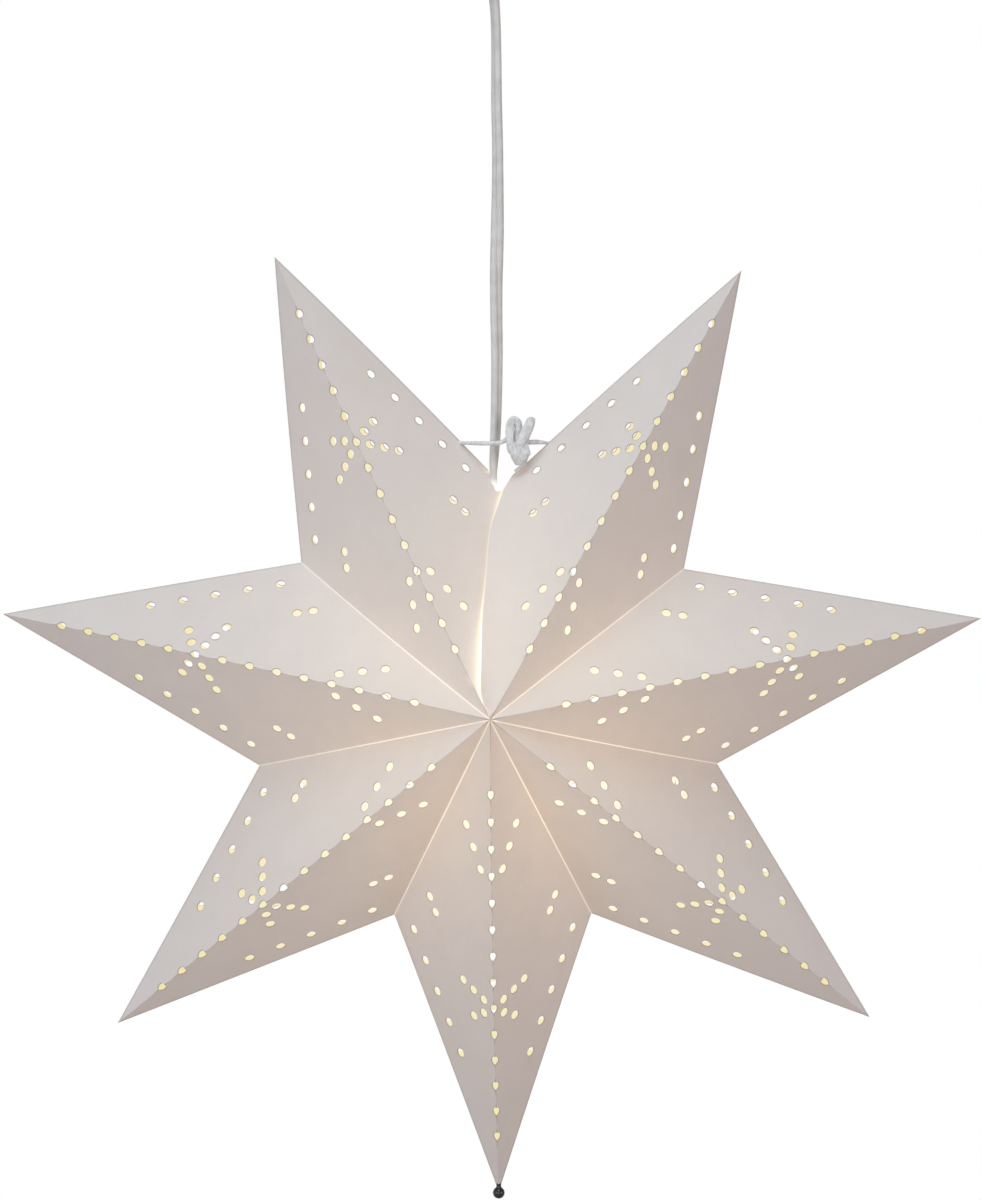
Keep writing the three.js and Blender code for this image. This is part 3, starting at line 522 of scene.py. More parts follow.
for side, sign in (("left", -1), ("right", 1)):
    place = (sign * f["screwSide"], 0, 0)
    carve(plate, turned("screwHole", screwHoleProfile(gap), place, 40))
    screw = turned("plate_screw_threaded_" + side, screwProfile(), place, 32)
    low, half, reach = f["plateBottom"], f["slotWidth"] / 2, 6
    slotLow = (place[0] - reach, -half, low - 1)
    slotHigh = (place[0] + reach, half, low + f["slotDepth"])
    carve(screw, boxPiece("slot", slotLow, slotHigh, 0.05))
    fit(screw, made["platedSteel"], "ceiling", "plate_screw_" + side)
fit(plate, made["whitePaint"], "ceiling", "ceiling_plate")

turn = 2 * np.pi * np.linspace(*f["hookTurnShares"], 20)
hookSides, hookHeights = f["hookRadius"] * np.cos(turn), f["ringCentre"] + f["hookRadius"] * np.sin(turn)
ring = np.stack([hookSides, 0 * turn, hookHeights], axis=1)
stem = [(0, 0, f["hookTop"]), (0, 0, -9), (0, 0, -12), (0, 0, f["stemEnd"])]
hook = roundTube("ceiling_hook_round", np.vstack([stem, ring]), f["hookWire"], 120, roundEnds=True)
fit(hook, made["platedSteel"], "ceiling", "ceiling_hook")


# The nut: six flats, r = R cos 30 / cos(angle from the flat's middle), with chamfered corners above and
# below and a round hole
def hexNut():
    corner = np.repeat(np.arange(6), 8) * np.pi / 3 + np.pi / 6
    turn = corner + np.tile(np.arange(8) / 8, 6) * np.pi / 3
    flat = f["nutRadius"] * math.cos(math.pi / 6) / np.cos((turn - corner) - np.pi / 6)
    face = np.minimum(flat, f["nutRadius"] * f["nutFaceShare"])
    hole = np.full_like(turn, f["holeRadius"])
    low, high, chamfer = f["nutBottom"], f["nutTop"], f["nutChamfer"]
    rings = [(hole, low), (face, low), (flat, low + chamfer), (flat, high - chamfer), (face, high),
             (hole, high)]
    grid = np.stack([np.stack([r * np.cos(turn), r * np.sin(turn), np.full_like(turn, level)], axis=1)
                     for r, level in rings])
    return gridMesh("hook_nut_hex", grid, closeI=True, closeJ=True, sharp=20)


fit(hexNut(), made["platedSteel"], "ceiling", "hook_nut")

link = ringTube("hanger_link_round", f["linkRadius"], f["linkWire"], f["linkStraight"],
                (0, 0, f["linkCentre"]), (0, 1, 0))
fit(link, made["platedSteel"], "link", "hanger_link")
eyeRing = ringTube("eyeRing", f["eyeRadius"], f["eyeWire"], 0, (0, 0, f["eyeCentre"]), (1, 0, 0), steps=40)
eyeFoot = f["eyeCentre"] - f["eyeRadius"]
head, headTop, headBottom, chamfer = f["eyeHead"]
eyeStem = turned("eyeStem", [
    (0, headBottom), (head - chamfer, headBottom), (head, headBottom + chamfer), (head, headTop - 0.3),
    (head - 0.3, headTop), (f["eyeWire"], headTop), (f["eyeWire"], eyeFoot - 0.4), (0, eyeFoot),
], sides=40)
fit(together("swivel_eye_round", eyeRing, eyeStem), made["platedSteel"], "eye", "swivel_eye")

# connection housing and its lid

cup = {
    "radius": 15, "top": -62.1, "bottom": -89.1, "wall": 1.6, "topWall": 3, "crown": 2.5, "eyeHole": 1.6,
    "leadHole": 3.2, "leadHeight": -73.1, "leadDepths": (8, 13, 18), "sides": 96, "groove": 0.3,
    "lidBottom": -92.4, "lidChamfer": 1.6, "spigotTop": -86.4, "outlet": 3.6,
    "rib": ((-9, -6.4, -86.8), (9, -2.4, -80.4)),
    # the tapered nipple under the lid, from its fillet down and round into the outlet
    "nipple": [(7.2, -92.4), (6.3, -92.7), (5.9, -93.6), (5.1, -99.7), (4.6, -100.3), (4.2, -100.4),
               (3.6, -99.9)],
}
inner = cup["radius"] - cup["wall"]
crown = np.linspace(0, np.pi / 2, 7)
crownEdge = [(cup["radius"] - cup["crown"] * (1 - math.sin(a)), cup["top"] - cup["crown"] * (1 - math.cos(a)))
             for a in crown]
cupShape = turned("connection_housing_moulded", [
    (cup["eyeHole"], cup["top"] - cup["topWall"]), (cup["eyeHole"], cup["top"]), *crownEdge,
    (cup["radius"], cup["bottom"] + 1.2), (cup["radius"] - cup["groove"], cup["bottom"] + 0.9),
    (cup["radius"] - cup["groove"], cup["bottom"]), (inner, cup["bottom"]),
    (inner, cup["top"] - cup["topWall"]), (cup["eyeHole"], cup["top"] - cup["topWall"]),
], sides=cup["sides"])
# the side hole for the lead runs from inside the cup out through its wall
leadPath = [(0, depth, cup["leadHeight"]) for depth in cup["leadDepths"]]
carve(cupShape, roundTube("leadHole", leadPath, cup["leadHole"], 4, (1, 0, 0), 40))
fit(cupShape, made["mouldedPlastic"], "lamp", "connection_housing")
lidShape = turned("housing_lid_shell", [
    (cup["outlet"], cup["spigotTop"]), (inner - gap, cup["spigotTop"]), (inner - gap, cup["bottom"] - gap),
    (cup["radius"], cup["bottom"] - gap), (cup["radius"], cup["lidBottom"] + cup["lidChamfer"]),
    (cup["radius"] - 0.5, cup["lidBottom"] + 0.5), (cup["radius"] - cup["lidChamfer"], cup["lidBottom"]),
    *cup["nipple"], (cup["outlet"], cup["spigotTop"]),
], sides=cup["sides"])
lidPiece = together("housing_lid_moulded", lidShape, boxPiece("rib", *cup["rib"]))
fit(lidPiece, made["mouldedPlastic"], "lamp", "housing_lid")

# The flat cable: two round cores side by side in one sheath, slowly twisting as it hangs. Its outline at
# the angle p is the core's offset times |cos p| plus the root of core radius squared less (offset sin p)
# squared

cable = {
    "route": [(0, 0, -79.4), (0, 0, -90), (0.1, 0, -100.4), (0.95, 0, -112), (1.4, 0, -130),
              (1.5, 0, -150), (1.95, 0, -170), (2.0, 0, -190), (1.8, 0, -210), (1.4, 0, -230),
              (1.45, 0, -246), (1.7, 0, -262), (1.6, 0, -276), (1.3, 0, -290), (0.9, 0, -301),
              (0.2, 0, -312), (0, 0, -330), (0, 0, -345), (0, 0, -360.1)],
    "coreRadius": 1.68,
    "coreSide": 1.27,
    # height, and how far it has turned from broadside, in degrees
    "twist": [(-79.4, 0), (-92, 0), (-106.9, 62), (-121, 65), (-148, 55), (-175, 50), (-192, 38), (-212, 8),
              (-230, -25), (-256, -40), (-283, -51), (-296, -58), (-307.5, -71), (-316, -90), (-345, -130),
              (-360.1, -180)],
    "steps": 280,
    "color": (0.66, 0.645, 0.64),
    "toneShares": (0.93, 1.06),
    "toneScale": 160,
    "roughness": 0.42,
    "grain": (250, 0.1, 0.02),
    # the bulb's light floods the sheath where it enters the star
    "litColor": (1.0, 0.95, 0.86),
    "litPower": 0.75,
    "litSpan": (-323.0, -316.5),
    "exit": (0, 0, -339),
    "length": 281,
    "width": 5.9,
}


# A matt sheath with slow tones, and the light that fades in over the lit span of its height
def cableMaterial():
    material, tree, shader = newMaterial("paleSheath", cable["color"], cable["roughness"],
                                         Specular_IOR_Level=0.06, Emission_Strength=1.0)
    places = objectPlaces(tree)
    dark, light = shades(cable["color"], *cable["toneShares"])
    tone = noise(tree, cable["toneScale"], 4, places)
    blendColor(tree, shader, "Base Color", tone, dark, light, (0.35, 0.65))
    litSpan = [height * mm for height in cable["litSpan"]]
    lit = mapRange(tree, split(tree, places)[2], litSpan, (cable["litPower"], 0.0),
                   interpolation_type="SMOOTHSTEP")
    tree.links.new(mixedLight(tree, (cable["litColor"], lit)), shader.inputs["Emission Color"])
    scale, strength, depth = cable["grain"]
    bump(tree, shader, noise(tree, scale, 2, places), strength, depth)
    return material


line = smoothLine(cable["route"], cable["steps"])
turn = np.linspace(0, 2 * np.pi, 48, endpoint=False)
reach = (cable["coreSide"] * np.abs(np.cos(turn))
         + np.sqrt(cable["coreRadius"] ** 2 - (cable["coreSide"] * np.sin(turn)) ** 2))
section = np.stack([reach * np.cos(turn), reach * np.sin(turn)], axis=1)
heights, degrees = np.array(cable["twist"][::-1]).T
smoothTwist = smoothLine(np.column_stack([heights, degrees / 10, np.zeros(len(heights))]), 400)
twist = np.radians(np.interp(line[:, 2], smoothTwist[:, 0], smoothTwist[:, 1] * 10))
sheath = capped(sweptGrid(line, section, (1, 0, 0), twist))
cableTube = gridMesh("lamp_cable_sheath", sheath, closeJ=True, sharp=50)
fit(cableTube, cableMaterial(), "lamp", "lamp_cable")
print("ceiling fitting, housing and cable made")

# lampholder and bulb, inside the star

holder = {
    "top": -339, "radius": 14, "wall": 1.8, "neckHole": 3.92, "neckRadius": 5.72, "neckBottom": -344,
    "neckChamfer": 0.9, "coneBottom": -353, "capBottom": -367, "bodyTop": -367.3, "spigotTop": -363,
    "shelf": -369, "bottom": -403, "sides": 80,
}
h = holder
innerRadius = h["radius"] - h["wall"]
holderCap = turned("holder_cap_moulded", [
    (h["neckHole"], h["top"]), (h["neckHole"], h["neckBottom"] - h["wall"]),
    (innerRadius, h["coneBottom"] - h["wall"]), (innerRadius, h["capBottom"]), (h["radius"], h["capBottom"]),
    (h["radius"], h["coneBottom"] - 1.0), (h["radius"] - 0.4, h["coneBottom"] + 0.6),
    (h["neckRadius"] + 1.0, h["neckBottom"] + 0.1), (h["neckRadius"], h["neckBottom"] + 1.2),
    (h["neckRadius"], h["top"] - 1.6 * h["neckChamfer"]), (h["neckRadius"] - h["neckChamfer"], h["top"]),
    (h["neckHole"], h["top"]),
], sides=h["sides"], bevel=0.2)
fit(holderCap, made["litPlastic"], "lamp", "holder_cap")
spigot = innerRadius - gap
holderBody = turned("holder_body_moulded", [
    (innerRadius, h["bottom"]), (h["radius"], h["bottom"]), (h["radius"], h["bodyTop"]),
    (spigot, h["bodyTop"]), (spigot, h["spigotTop"]), (spigot - h["wall"], h["spigotTop"]),
    (spigot - h["wall"], h["shelf"]), (innerRadius, h["shelf"]), (innerRadius, h["bottom"]),
], sides=h["sides"], bevel=0.3)
fit(holderBody, made["litPlastic"], "lamp", "holder_body")

bulb = {
    "centre": -430.3, "radius": 22.5, "wall": 0.8, "neckRadius": 5.4, "neckHeight": -403, "top": -391.2,
    "turnDegrees": 46, "sides": 80, "light": (1.0, 0.80, 0.50), "deepShares": (0.94, 0.92, 0.86), "power": 6,
    "wire": ((1.0, 0.42, 0.08), (1.0, 0.62, 0.2)), "wirePower": 12,
}


# The globe's outline: an arc from the bottom pole, then a cubic curve that runs into the straight neck
def globeProfile(inset):
    radius, neck = bulb["radius"] - inset, bulb["neckRadius"] - inset
    turn = np.radians(np.linspace(-90, bulb["turnDegrees"], 44))
    arc = np.stack([radius * np.cos(turn), bulb["centre"] + radius * np.sin(turn)], axis=1)
    arc[0, 0] = 0
    away = np.array([-math.sin(turn[-1]), math.cos(turn[-1])])
    end = np.array([neck, bulb["neckHeight"]])
    t = np.linspace(0, 1, 14)[1:, None]
    first, second = arc[-1] + 5 * away, end - (0, 4)
    curve = (1 - t) ** 3 * arc[-1] + 3 * (1 - t) ** 2 * t * first + 3 * (1 - t) * t**2 * second + t**3 * end
    return np.vstack([arc, curve, [[neck, bulb["top"]]]])


# Lit opal glass with slow clouds
def bulbMaterial():
    material, tree, shader = newMaterial("litOpalGlass", (0.9, 0.85, 0.75), 0.2,
                                         Emission_Strength=bulb["power"])
    places = objectPlaces(tree)
    deep = tuple(c * share for c, share in zip(bulb["light"], bulb["deepShares"]))
    blendColor(tree, shader, "Emission Color", noise(tree, 90, 3, places), deep, bulb["light"])
    bump(tree, shader, noise(tree, 300, 2, places), 0.1, 0.03)
    return material


# Glowing wire, brighter in places
def filamentMaterial():
    material, tree, shader = newMaterial("glowingWire", (0.3, 0.25, 0.2), 0.4, 1.0,
                                         Emission_Strength=bulb["wirePower"])
    blendColor(tree, shader, "Emission Color", noise(tree, 800, 2), *bulb["wire"])
    return material


globe = np.vstack([globeProfile(0), globeProfile(bulb["wall"])[::-1]])
glass = turned("bulb_glass_globe", globe, sides=bulb["sides"])
fit(glass, bulbMaterial(), "bulb", "bulb_glass")

# the small parts keep the shapes they came with, each in its own finish
smallParts = {
    "platedSteel": ["clamp_screw_left", "clamp_screw_right", "bulb_tip_contact"],
    "plainBrass": ["block_screw_left", "block_screw_right", "terminal_screw_left", "terminal_screw_right",
                   "screw_shell", "centre_contact", "bulb_cap"],
    "copperCore": ["core_wire_left", "core_wire_right"],
    "mouldedPlastic": ["cable_clamp", "terminal_block", "cord_grip"],
    "glazedCeramic": ["contact_block"],
    "blackInsulator": ["bulb_insulator"],
    "clearStem": ["bulb_stem"],
}
for finish, names in smallParts.items():
    for name in names:
        dress(nodes[name], made[finish])
dress(nodes["bulb_filament"], filamentMaterial())
print("lampholder and bulb made")

# the tie: a smooth milky cord through the folds of the two top points, knotted in a bow; its places are
# measured from the star's middle

tie = {
    "radius": 1.0,
    "color": (0.67, 0.665, 0.68),
    "toneShares": (0.86, 1.12),
    "toneScale": 420,
    "grain": (900, 0.12, 0.03),
    "left": [(-18.6, 0, 116.9), (-16.6, 0, 116.9), (-14.6, 0.1, 116.95), (-12.3, -1.6, 116.95),
             (-5, -4.3, 116.8), (0.5, -4.75, 116.85), (4.4, -5.2, 117.15), (6.4, -5.5, 118.0),
             (7.8, -5.7, 119.2)],
    "leftSwell": [1.1, 1.1, 0.8, 0.85, 0.95, 1.0, 1.0, 1.0, 1.0],
    "right": [(33.4, 0, 117.0), (29.5, 0, 116.9), (26.2, -0.6, 116.9), (23.5, -2.0, 117.2),
              (20.8, -3.0, 117.35), (18.4, -4.0, 117.3), (16.0, -4.4, 117.2)],
    "rightSwell": [1.1, 1.1, 0.7, 0.8, 1.1, 1.15, 1.0],
    "stopRadii": {"left": 1.6, "right": 2.3},
    "stopSides": {"left": -18.6, "right": 34.35},
    "stopHeight": 117.0,
}
knot = {
    "centre": (12.75, -6.1, 112.4),
    "strandRadius": 1.4,
    "turns": 4.45,
    "startTurn": 0.3,
    "halfHeight": 4.3,
    "halfDepth": 2.1,
    "pinch": 0.12,
    # as the winding rises from -1 to 1: its width, and how far it is shifted sideways
    "widths": [(-1, 4.4), (-0.3, 7.5), (1, 7.5)],
    "shifts": [(-1, 0.55), (-0.3, 0.5), (1, -0.75)],
    "leftEar": [(9.6, -7.0, 112.5), (9.0, -7.5, 116), (8.7, -7.6, 120.5), (8.75, -7.3, 124.2),
                (9.35, -6.9, 126.4), (10.6, -6.5, 127.35), (11.9, -6.2, 126.6), (12.5, -5.9, 124.3),
                (12.4, -5.8, 120.8), (11.9, -5.7, 117.0), (11.6, -5.8, 112.5)],
    "rightEar": [(13.2, -7.9, 112.5), (13.7, -8.5, 116.8), (14.9, -8.8, 120.2), (16.3, -8.6, 123.2),
                 (17.6, -8.1, 126.0), (18.2, -7.0, 127.6), (18.05, -5.7, 126.2), (17.0, -5.2, 123.2),
                 (15.7, -5.2, 120.2), (14.9, -5.4, 116.8), (14.6, -5.8, 112.5)],
    "earSwell": [0.75, 0.9, 1.0, 1.0, 0.95, 0.9, 0.95, 1.0, 1.0, 0.9, 0.75],
    "leftEarRadius": 1.88,
    "leftEarDepthShare": 0.62,
    "rightEarRadius": 2.1,
    "rightEarDepthShare": 0.55,
    "tail": [(15.6, -5.2, 109.4), (15.9, -6.4, 107.9), (14.4, -6.8, 106.9), (12.6, -6.6, 105.9),
             (11.2, -6.3, 104.7)],
    "tailRadius": 0.6,
}


# Milky cord: light enters it a little, and slow tones lie in it
def tieMaterial():
    material, tree, shader = newMaterial("milkyCord", tie["color"], 0.28, Subsurface_Weight=0.25,
                                         Subsurface_Radius=(0.0015, 0.0014, 0.0013), Specular_IOR_Level=0.5)
    places = objectPlaces(tree)
    milky = noise(tree, tie["toneScale"], 4, places, 0.6)
    dark, light = shades(tie["color"], *tie["toneShares"])
    blendColor(tree, shader, "Base Color", milky, dark, light, (0.38, 0.62))
    scale, strength, depth = tie["grain"]
    bump(tree, shader, noise(tree, scale, 2, places), strength, depth)
    return material


# Places measured from the star's middle, in the part's frame
def starPlaces(places):
    return np.array(places, float) + starCentre


milkyCord = tieMaterial()
for side in ("left", "right"):
    strand = roundTube("tieStrand", starPlaces(tie[side]), tie["radius"], 60, (0, 0, 1),
                       swell=tie[side + "Swell"], roundEnds=True)
    turn = np.linspace(-np.pi / 2, np.pi / 2, 15)
    stopProfile = tie["stopRadii"][side] * np.stack([np.cos(turn), np.sin(turn)], axis=1)
    stop = turned("tieStop", stopProfile, starPlaces((tie["stopSides"][side], 0, tie["stopHeight"])), 32)
    cord = together("tie_cord_smooth_" + side, strand, stop)
    fit(cord, milkyCord, "star", "tie_cord_" + side)


# The wound middle of the knot: height and depth run round an oval, and each turn steps sideways, wider at
# the top than at the bottom
def knotWinding():
    t = np.linspace(0, knot["turns"], 260)
    turn = 2 * np.pi * t + knot["startTurn"]
    rise = np.sin(turn)
    width = np.interp(rise, *np.array(knot["widths"]).T)
    shift = np.interp(rise, *np.array(knot["shifts"]).T)
    middleSide, middleDepth, middleHeight = knot["centre"]
    side = middleSide + shift + (t / knot["turns"] - 0.5) * width
    tight = 1 - knot["pinch"] * np.cos(np.pi * t) ** 2
    depth = middleDepth + knot["halfDepth"] * np.cos(turn) * tight
    height = middleHeight + knot["halfHeight"] * rise
    line = starPlaces(np.stack([side, depth, height], axis=1))
    swell = np.interp(rise, (-1, 1), (0.8, 1.0))
    grid = sweptGrid(line, circle(knot["strandRadius"], 20), (1, 0, 0), swell=swell)
    return gridMesh("winding", capped(grid, knot["strandRadius"]), closeJ=True, sharp=60)


leftEar = roundTube("leftEar", starPlaces(knot["leftEar"]), knot["leftEarRadius"], 90, (0, 1, 0), 32,
                    knot["earSwell"], flat=(knot["leftEarDepthShare"], 1))
rightEar = roundTube("rightEar", starPlaces(knot["rightEar"]), knot["rightEarRadius"], 90, (1, 0, 0), 32,
                     knot["earSwell"], flat=(1, knot["rightEarDepthShare"]))
tail = roundTube("tail", starPlaces(knot["tail"]), knot["tailRadius"], 40, (0, 1, 0), 16, roundEnds=True)
bow = together("tie_knot_bow", knotWinding(), leftEar, rightEar, tail)
fit(bow, milkyCord, "star", "tie_knot")

# the ball under the bottom point: a polished sphere that runs up into a short neck, and its pin, whose
# head rests inside the point

ball = {
    "centre": (2.57, 0, -641.55), "radius": 2.7,
    "blend": 58,  # the angle above level at which the neck begins, in degrees
    "neck": [(1.2, 2.62), (1.08, 2.95), (1.1, 3.5), (1.1, 4.23), (0.95, 4.38), (0, 4.38)],
}
turn = np.radians(np.linspace(-90, ball["blend"], 30))
ballOutline = np.vstack([ball["radius"] * np.stack([np.cos(turn), np.sin(turn)], axis=1), ball["neck"]])
ballPiece = turned("tip_ball_polished", ballOutline, ball["centre"], 48)
fit(ballPiece, made["darkBall"], "star", "tip_ball")

pin = {"radius": 0.4, "headRadius": 2.0, "headThick": 0.8}
pinBottom, pinTop = (corner[2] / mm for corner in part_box("tip_pin"))
headBottom = pinTop - pin["headThick"]
pinPiece = turned("tip_pin_turned", [
    (0, pinBottom), (pin["radius"], pinBottom), (pin["radius"], headBottom - 0.3),
    (pin["radius"] + 0.3, headBottom), (pin["headRadius"] - 0.2, headBottom),
    (pin["headRadius"], headBottom + 0.2), (pin["headRadius"], pinTop - 0.3),
    (pin["headRadius"] - 0.4, pinTop), (0, pinTop),
], (ball["centre"][0], 0, 0), 32)
fit(pinPiece, made["platedSteel"], "star", "tip_pin")
print("tie and ball made")

# the star: seven folded, punched points

star = {
    "turnShares": {
        "star_point_top_right": 0.08325,
        "star_point_right": 0.22275,
        "star_point_lower_right": 0.3601,
        "star_point_bottom": 0.49794,
        "star_point_lower_left": 0.63669,
        "star_point_left": 0.77933,
        "star_point_top_left": 0.92806,
    },
    "tipRadius": 222,
    "valleyRadius": 105.4,
    "halfDepth": 75,
    "seamRightTurnShare": 0.0183,
    "seamLeftTurnShare": 0.99606,
    "thickness": 0.45,
    "lattice": 5.0,
    "seamLattice": 3.0,
    "holeClear": 1.2,
    "outlineClear": 1.4,
    "bulge": 0.7,
    "bulgeReach": 30,
    "middleTrim": 0.04,
    "tipCut": 4.2,
}
# holes as (along the ridge, across from it)
punch = {
    "radius": 2.12,
    "rim": 0.4,
    "sides": 28,
    "ridge": [(35.6 + 13.07 * k, 0.0) for k in range(14)],
    "face": [
        (73.1, 6.5), (63.55, 10.6), (54.0, 14.7), (97.1, 37.6), (103.65, 34.25),
        (117.5, 48.3), (130.68, 41.54), (143.86, 34.78), (157.04, 28.02), (170.22, 21.26),
        (137.4, 6.0), (134.5, 12.08), (131.6, 18.16), (144.0, 6.1), (147.65, 12.18),
    ],
}
# the free edges of the two sheets at the open seam, as (along the ridge, across from it), from the valley
# corner down to the middle of the star
lap = {
    "right": [(112.9, 59.7), (110.0, 60.1), (106.2, 60.5), (105.0, 60.7), (102.3, 60.3), (94.9, 58.8),
              (87.7, 57.3), (79.7, 53.7), (68.0, 47.4), (56.4, 41.2), (46.8, 36.2), (33.6, 28.2),
              (24.3, 22.1), (14.9, 16.1), (10.8, 13.0), (5.9, 7.5), (1.7, 2.2)],
    "left": [(112.1, 59.7), (109.5, 60.1), (107.3, 59.6), (104.9, 58.7), (103.9, 59.1), (102.8, 62.0),
             (101.8, 63.6), (98.8, 62.0), (88.8, 55.4), (71.0, 44.6), (51.0, 33.1), (30.7, 21.0),
             (12.5, 9.1), (5.2, 3.6)],
    "edgeSteps": 130,
    # the right sheet leans forward by the lift, growing over the reach and fading out towards the end
    "lift": 3.0,
    "liftReach": 90,
    "liftPower": 0.7,
    "liftEnd": 124,
    "liftFade": 12,
    "clearance": 0.9,
    "bend": 2.0,
    # beside the right sheet's edge, from the star's middle up: height, strength of the line, of the halo
    "glow": [(3, 0.0, 0.0), (6, 0.4, 0.18), (10, 0.7, 0.34), (16, 0.8, 0.48), (24, 0.8, 0.48),
             (32, 0.8, 0.34), (38, 0.75, 0.16), (44, 0.5, 0.05), (50, 0.25, 0.0), (58, 0.12, 0.0),
             (66, 0.08, 0.0), (80, 0.08, 0.0), (86, 0.2, 0.05), (92, 0.3, 0.16), (97, 0.2, 0.12)],
    "lineSpread": 0.7,
    "haloSpread": 3.2,
    # the light along the right sheet's edge, and along the left one's beside the mouth
    "rim": [(4, 0.1), (14, 0.4), (38, 0.45), (50, 0.2), (60, 0.08), (76, 0.1), (84, 0.3), (93, 0.4),
            (100, 0.1)],
    "mouthRim": [(97, 0.0), (98.5, 0.3), (104.5, 0.3), (106, 0.0)],
    "rimWidth": 0.5,
    # how far the rows of points for that light stand from the right sheet's edge, and their lowest and
    # highest place
    "rows": (-0.4, 0.25, 0.7, 1.3, 2.1, 3.1, 4.4, 6.2, 8.5),
    "rowSpan": (3, 97),
    "rowClear": 0.3,
    "mouthSteps": 60,
}
# hand folding leaves the card a little off its even plan: (sideways, up) in mm
drift = {
    "points": [
        {"tip": (1.0, 1.4), "ridge": (0.9, 1.2), "edges": ((0.3, 1.0), (0.9, 1.1))},
        {"tip": (1.3, 0.5), "ridge": (0.0, -0.4), "edges": ((0.5, 0.4), (0.1, -0.3))},
        {"tip": (0.4, -0.6), "ridge": (0.5, -0.5), "edges": ((0.4, -0.2), (0.3, -0.5))},
        {"tip": (1.0, -0.1), "ridge": (-0.3, -0.5), "edges": ((0.3, 0.1), (0.8, 0.0))},
        {"tip": (-0.2, 0.1), "ridge": (-0.1, 0.0), "edges": ((0.4, 0.5), (-1.1, -0.5))},
        {"tip": (-0.3, -0.4), "ridge": (0.5, 0.2), "edges": ((-0.1, -0.9), (-0.5, -0.2))},
        {"tip": (0.9, 0.0), "ridge": (-1.0, -1.4), "edges": ((-0.3, -1.3), (1.8, 0.2))},
    ],
    # each valley's corner and the middle of its fold, from the seam's right sheet round to its left one
    "valleys": [((0.7, 0.1), (0.9, -0.2)), ((0.3, 0.2), (-0.1, 0.1)), ((0.1, 0.0), (-0.6, -0.5)),
                ((0.1, 0.2), (-0.1, 0.3)), ((0.1, 0.6), (0.0, 0.0)), ((-1.9, -0.5), (-0.4, -0.2)),
                ((-0.8, -0.5), (-0.7, -0.8)), ((1.4, -0.2), (0.1, -0.9))],
}
# white card lit from inside, with widths and reaches in mm and noise scales in features per metre
card = {
    "color": (0.66, 0.618, 0.63),
    "toneShares": (1.08, 0.30),
    "roughness": 0.85,
    "glowReach": 75,
    "glowColor": (0.165, 0.113, 0.050),
    "glowPower": 1.2,
    "cloud": 0.3,
    "cloudScale": 140,
    # painted light: a warm line along the glued valleys and a warm wash beside the open lap
    "valleyGlowColor": (0.36, 0.33, 0.27),
    "valleyWidth": 0.5,
    "lapGlowColor": (1.0, 0.86, 0.56),
    # painted shade along the outer folds and, near the star's middle, along the ridges
    "edgeShade": 0.3,
    "edgeWidth": 1.3,
    "crestWidth": 0.5,
    "crestShade": 0.03,
    "crestReach": 6,
    "fibre": 0.10,
    "fibreScale": 900,
    "mottleScale": 60,
    # painted shade round each hole
    "rimShade": 0.55,
    "grain": (1500, 0.3, 0.15),
    "insideColor": (0.3, 0.28, 0.22),
    # painted light on the card's inside: a glow, cream near the bulb and yellower towards the tips
    "insideGlowNear": (0.66, 0.64, 0.56),
    "insideGlowFar": (0.61, 0.54, 0.27),
    "insideSpan": (0.3, 0.85),
    "insideGrain": (900, 0.3, 0.15),
}


# Nearness to the bulb: the reach over the distance from it
def nearBulb(tree, places):
    return calculate(tree, "DIVIDE", card["glowReach"] * mm, distanceFrom(tree, places, bulbCentre))


# The painted glow through the card is its nearness to the bulb raised to a power, made cloudy by its fibres.
# Painted light makes it brighter along the glued valleys and beside the open lap. Painted shade makes the
# card darker along its outer folds, round the holes and, near the star's middle, along the ridges
def cardMaterial():
    material, tree, shader = newMaterial("whiteCard", card["color"], card["roughness"],
                                         Specular_IOR_Level=0.2, Emission_Strength=1.0)
    places = objectPlaces(tree)
    near = nearBulb(tree, places)
    cloud = calculate(tree, "SUBTRACT", noise(tree, card["cloudScale"], 5, places), 0.5)
    cloud = plus(tree, times(tree, cloud, card["cloud"]), 1.0)
    glow = times(tree, calculate(tree, "POWER", near, card["glowPower"]), cloud)
    ridge, valley, edge = split(tree, attribute(tree, "foldPlaces", "Vector"))
    valleyGlowAmount = times(tree, lineAt(tree, valley, card["valleyWidth"]), near)
    light = mixedLight(tree, (card["glowColor"], glow), (card["valleyGlowColor"], valleyGlowAmount),
                       (card["lapGlowColor"], attribute(tree, "lapLight")))
    tree.links.new(light, shader.inputs["Emission Color"])
    # painted shade: the outer folds, the ridges near the middle and the hole rims darken the base colour
    fold = times(tree, lineAt(tree, edge, card["edgeWidth"]), card["edgeShade"])
    middle = ((starCentre - [0, star["halfDepth"], 0]) * mm).tolist()
    crestReach = card["crestReach"] * mm
    away = plus(tree, distanceFrom(tree, places, middle), crestReach)
    nearMiddle = plus(tree, calculate(tree, "DIVIDE", crestReach, away), card["crestShade"])
    crest = times(tree, lineAt(tree, ridge, card["crestWidth"]), nearMiddle)
    rim = times(tree, attribute(tree, "holeRim"), card["rimShade"])
    shade = plus(tree, fold, plus(tree, crest, rim))
    fibre = times(tree, noise(tree, card["fibreScale"], 4, places, 0.65), card["fibre"])
    mottle = times(tree, noise(tree, card["mottleScale"], 3, places), card["fibre"])
    tone = plus(tree, plus(tree, fibre, mottle), shade)
    pale, dark = shades(card["color"], *card["toneShares"])
    blendColor(tree, shader, "Base Color", tone, pale, dark, (0.0, 1.0))
    scale, strength, depth = card["grain"]
    bump(tree, shader, noise(tree, scale, 4, places, 0.65), strength, depth)
    return material


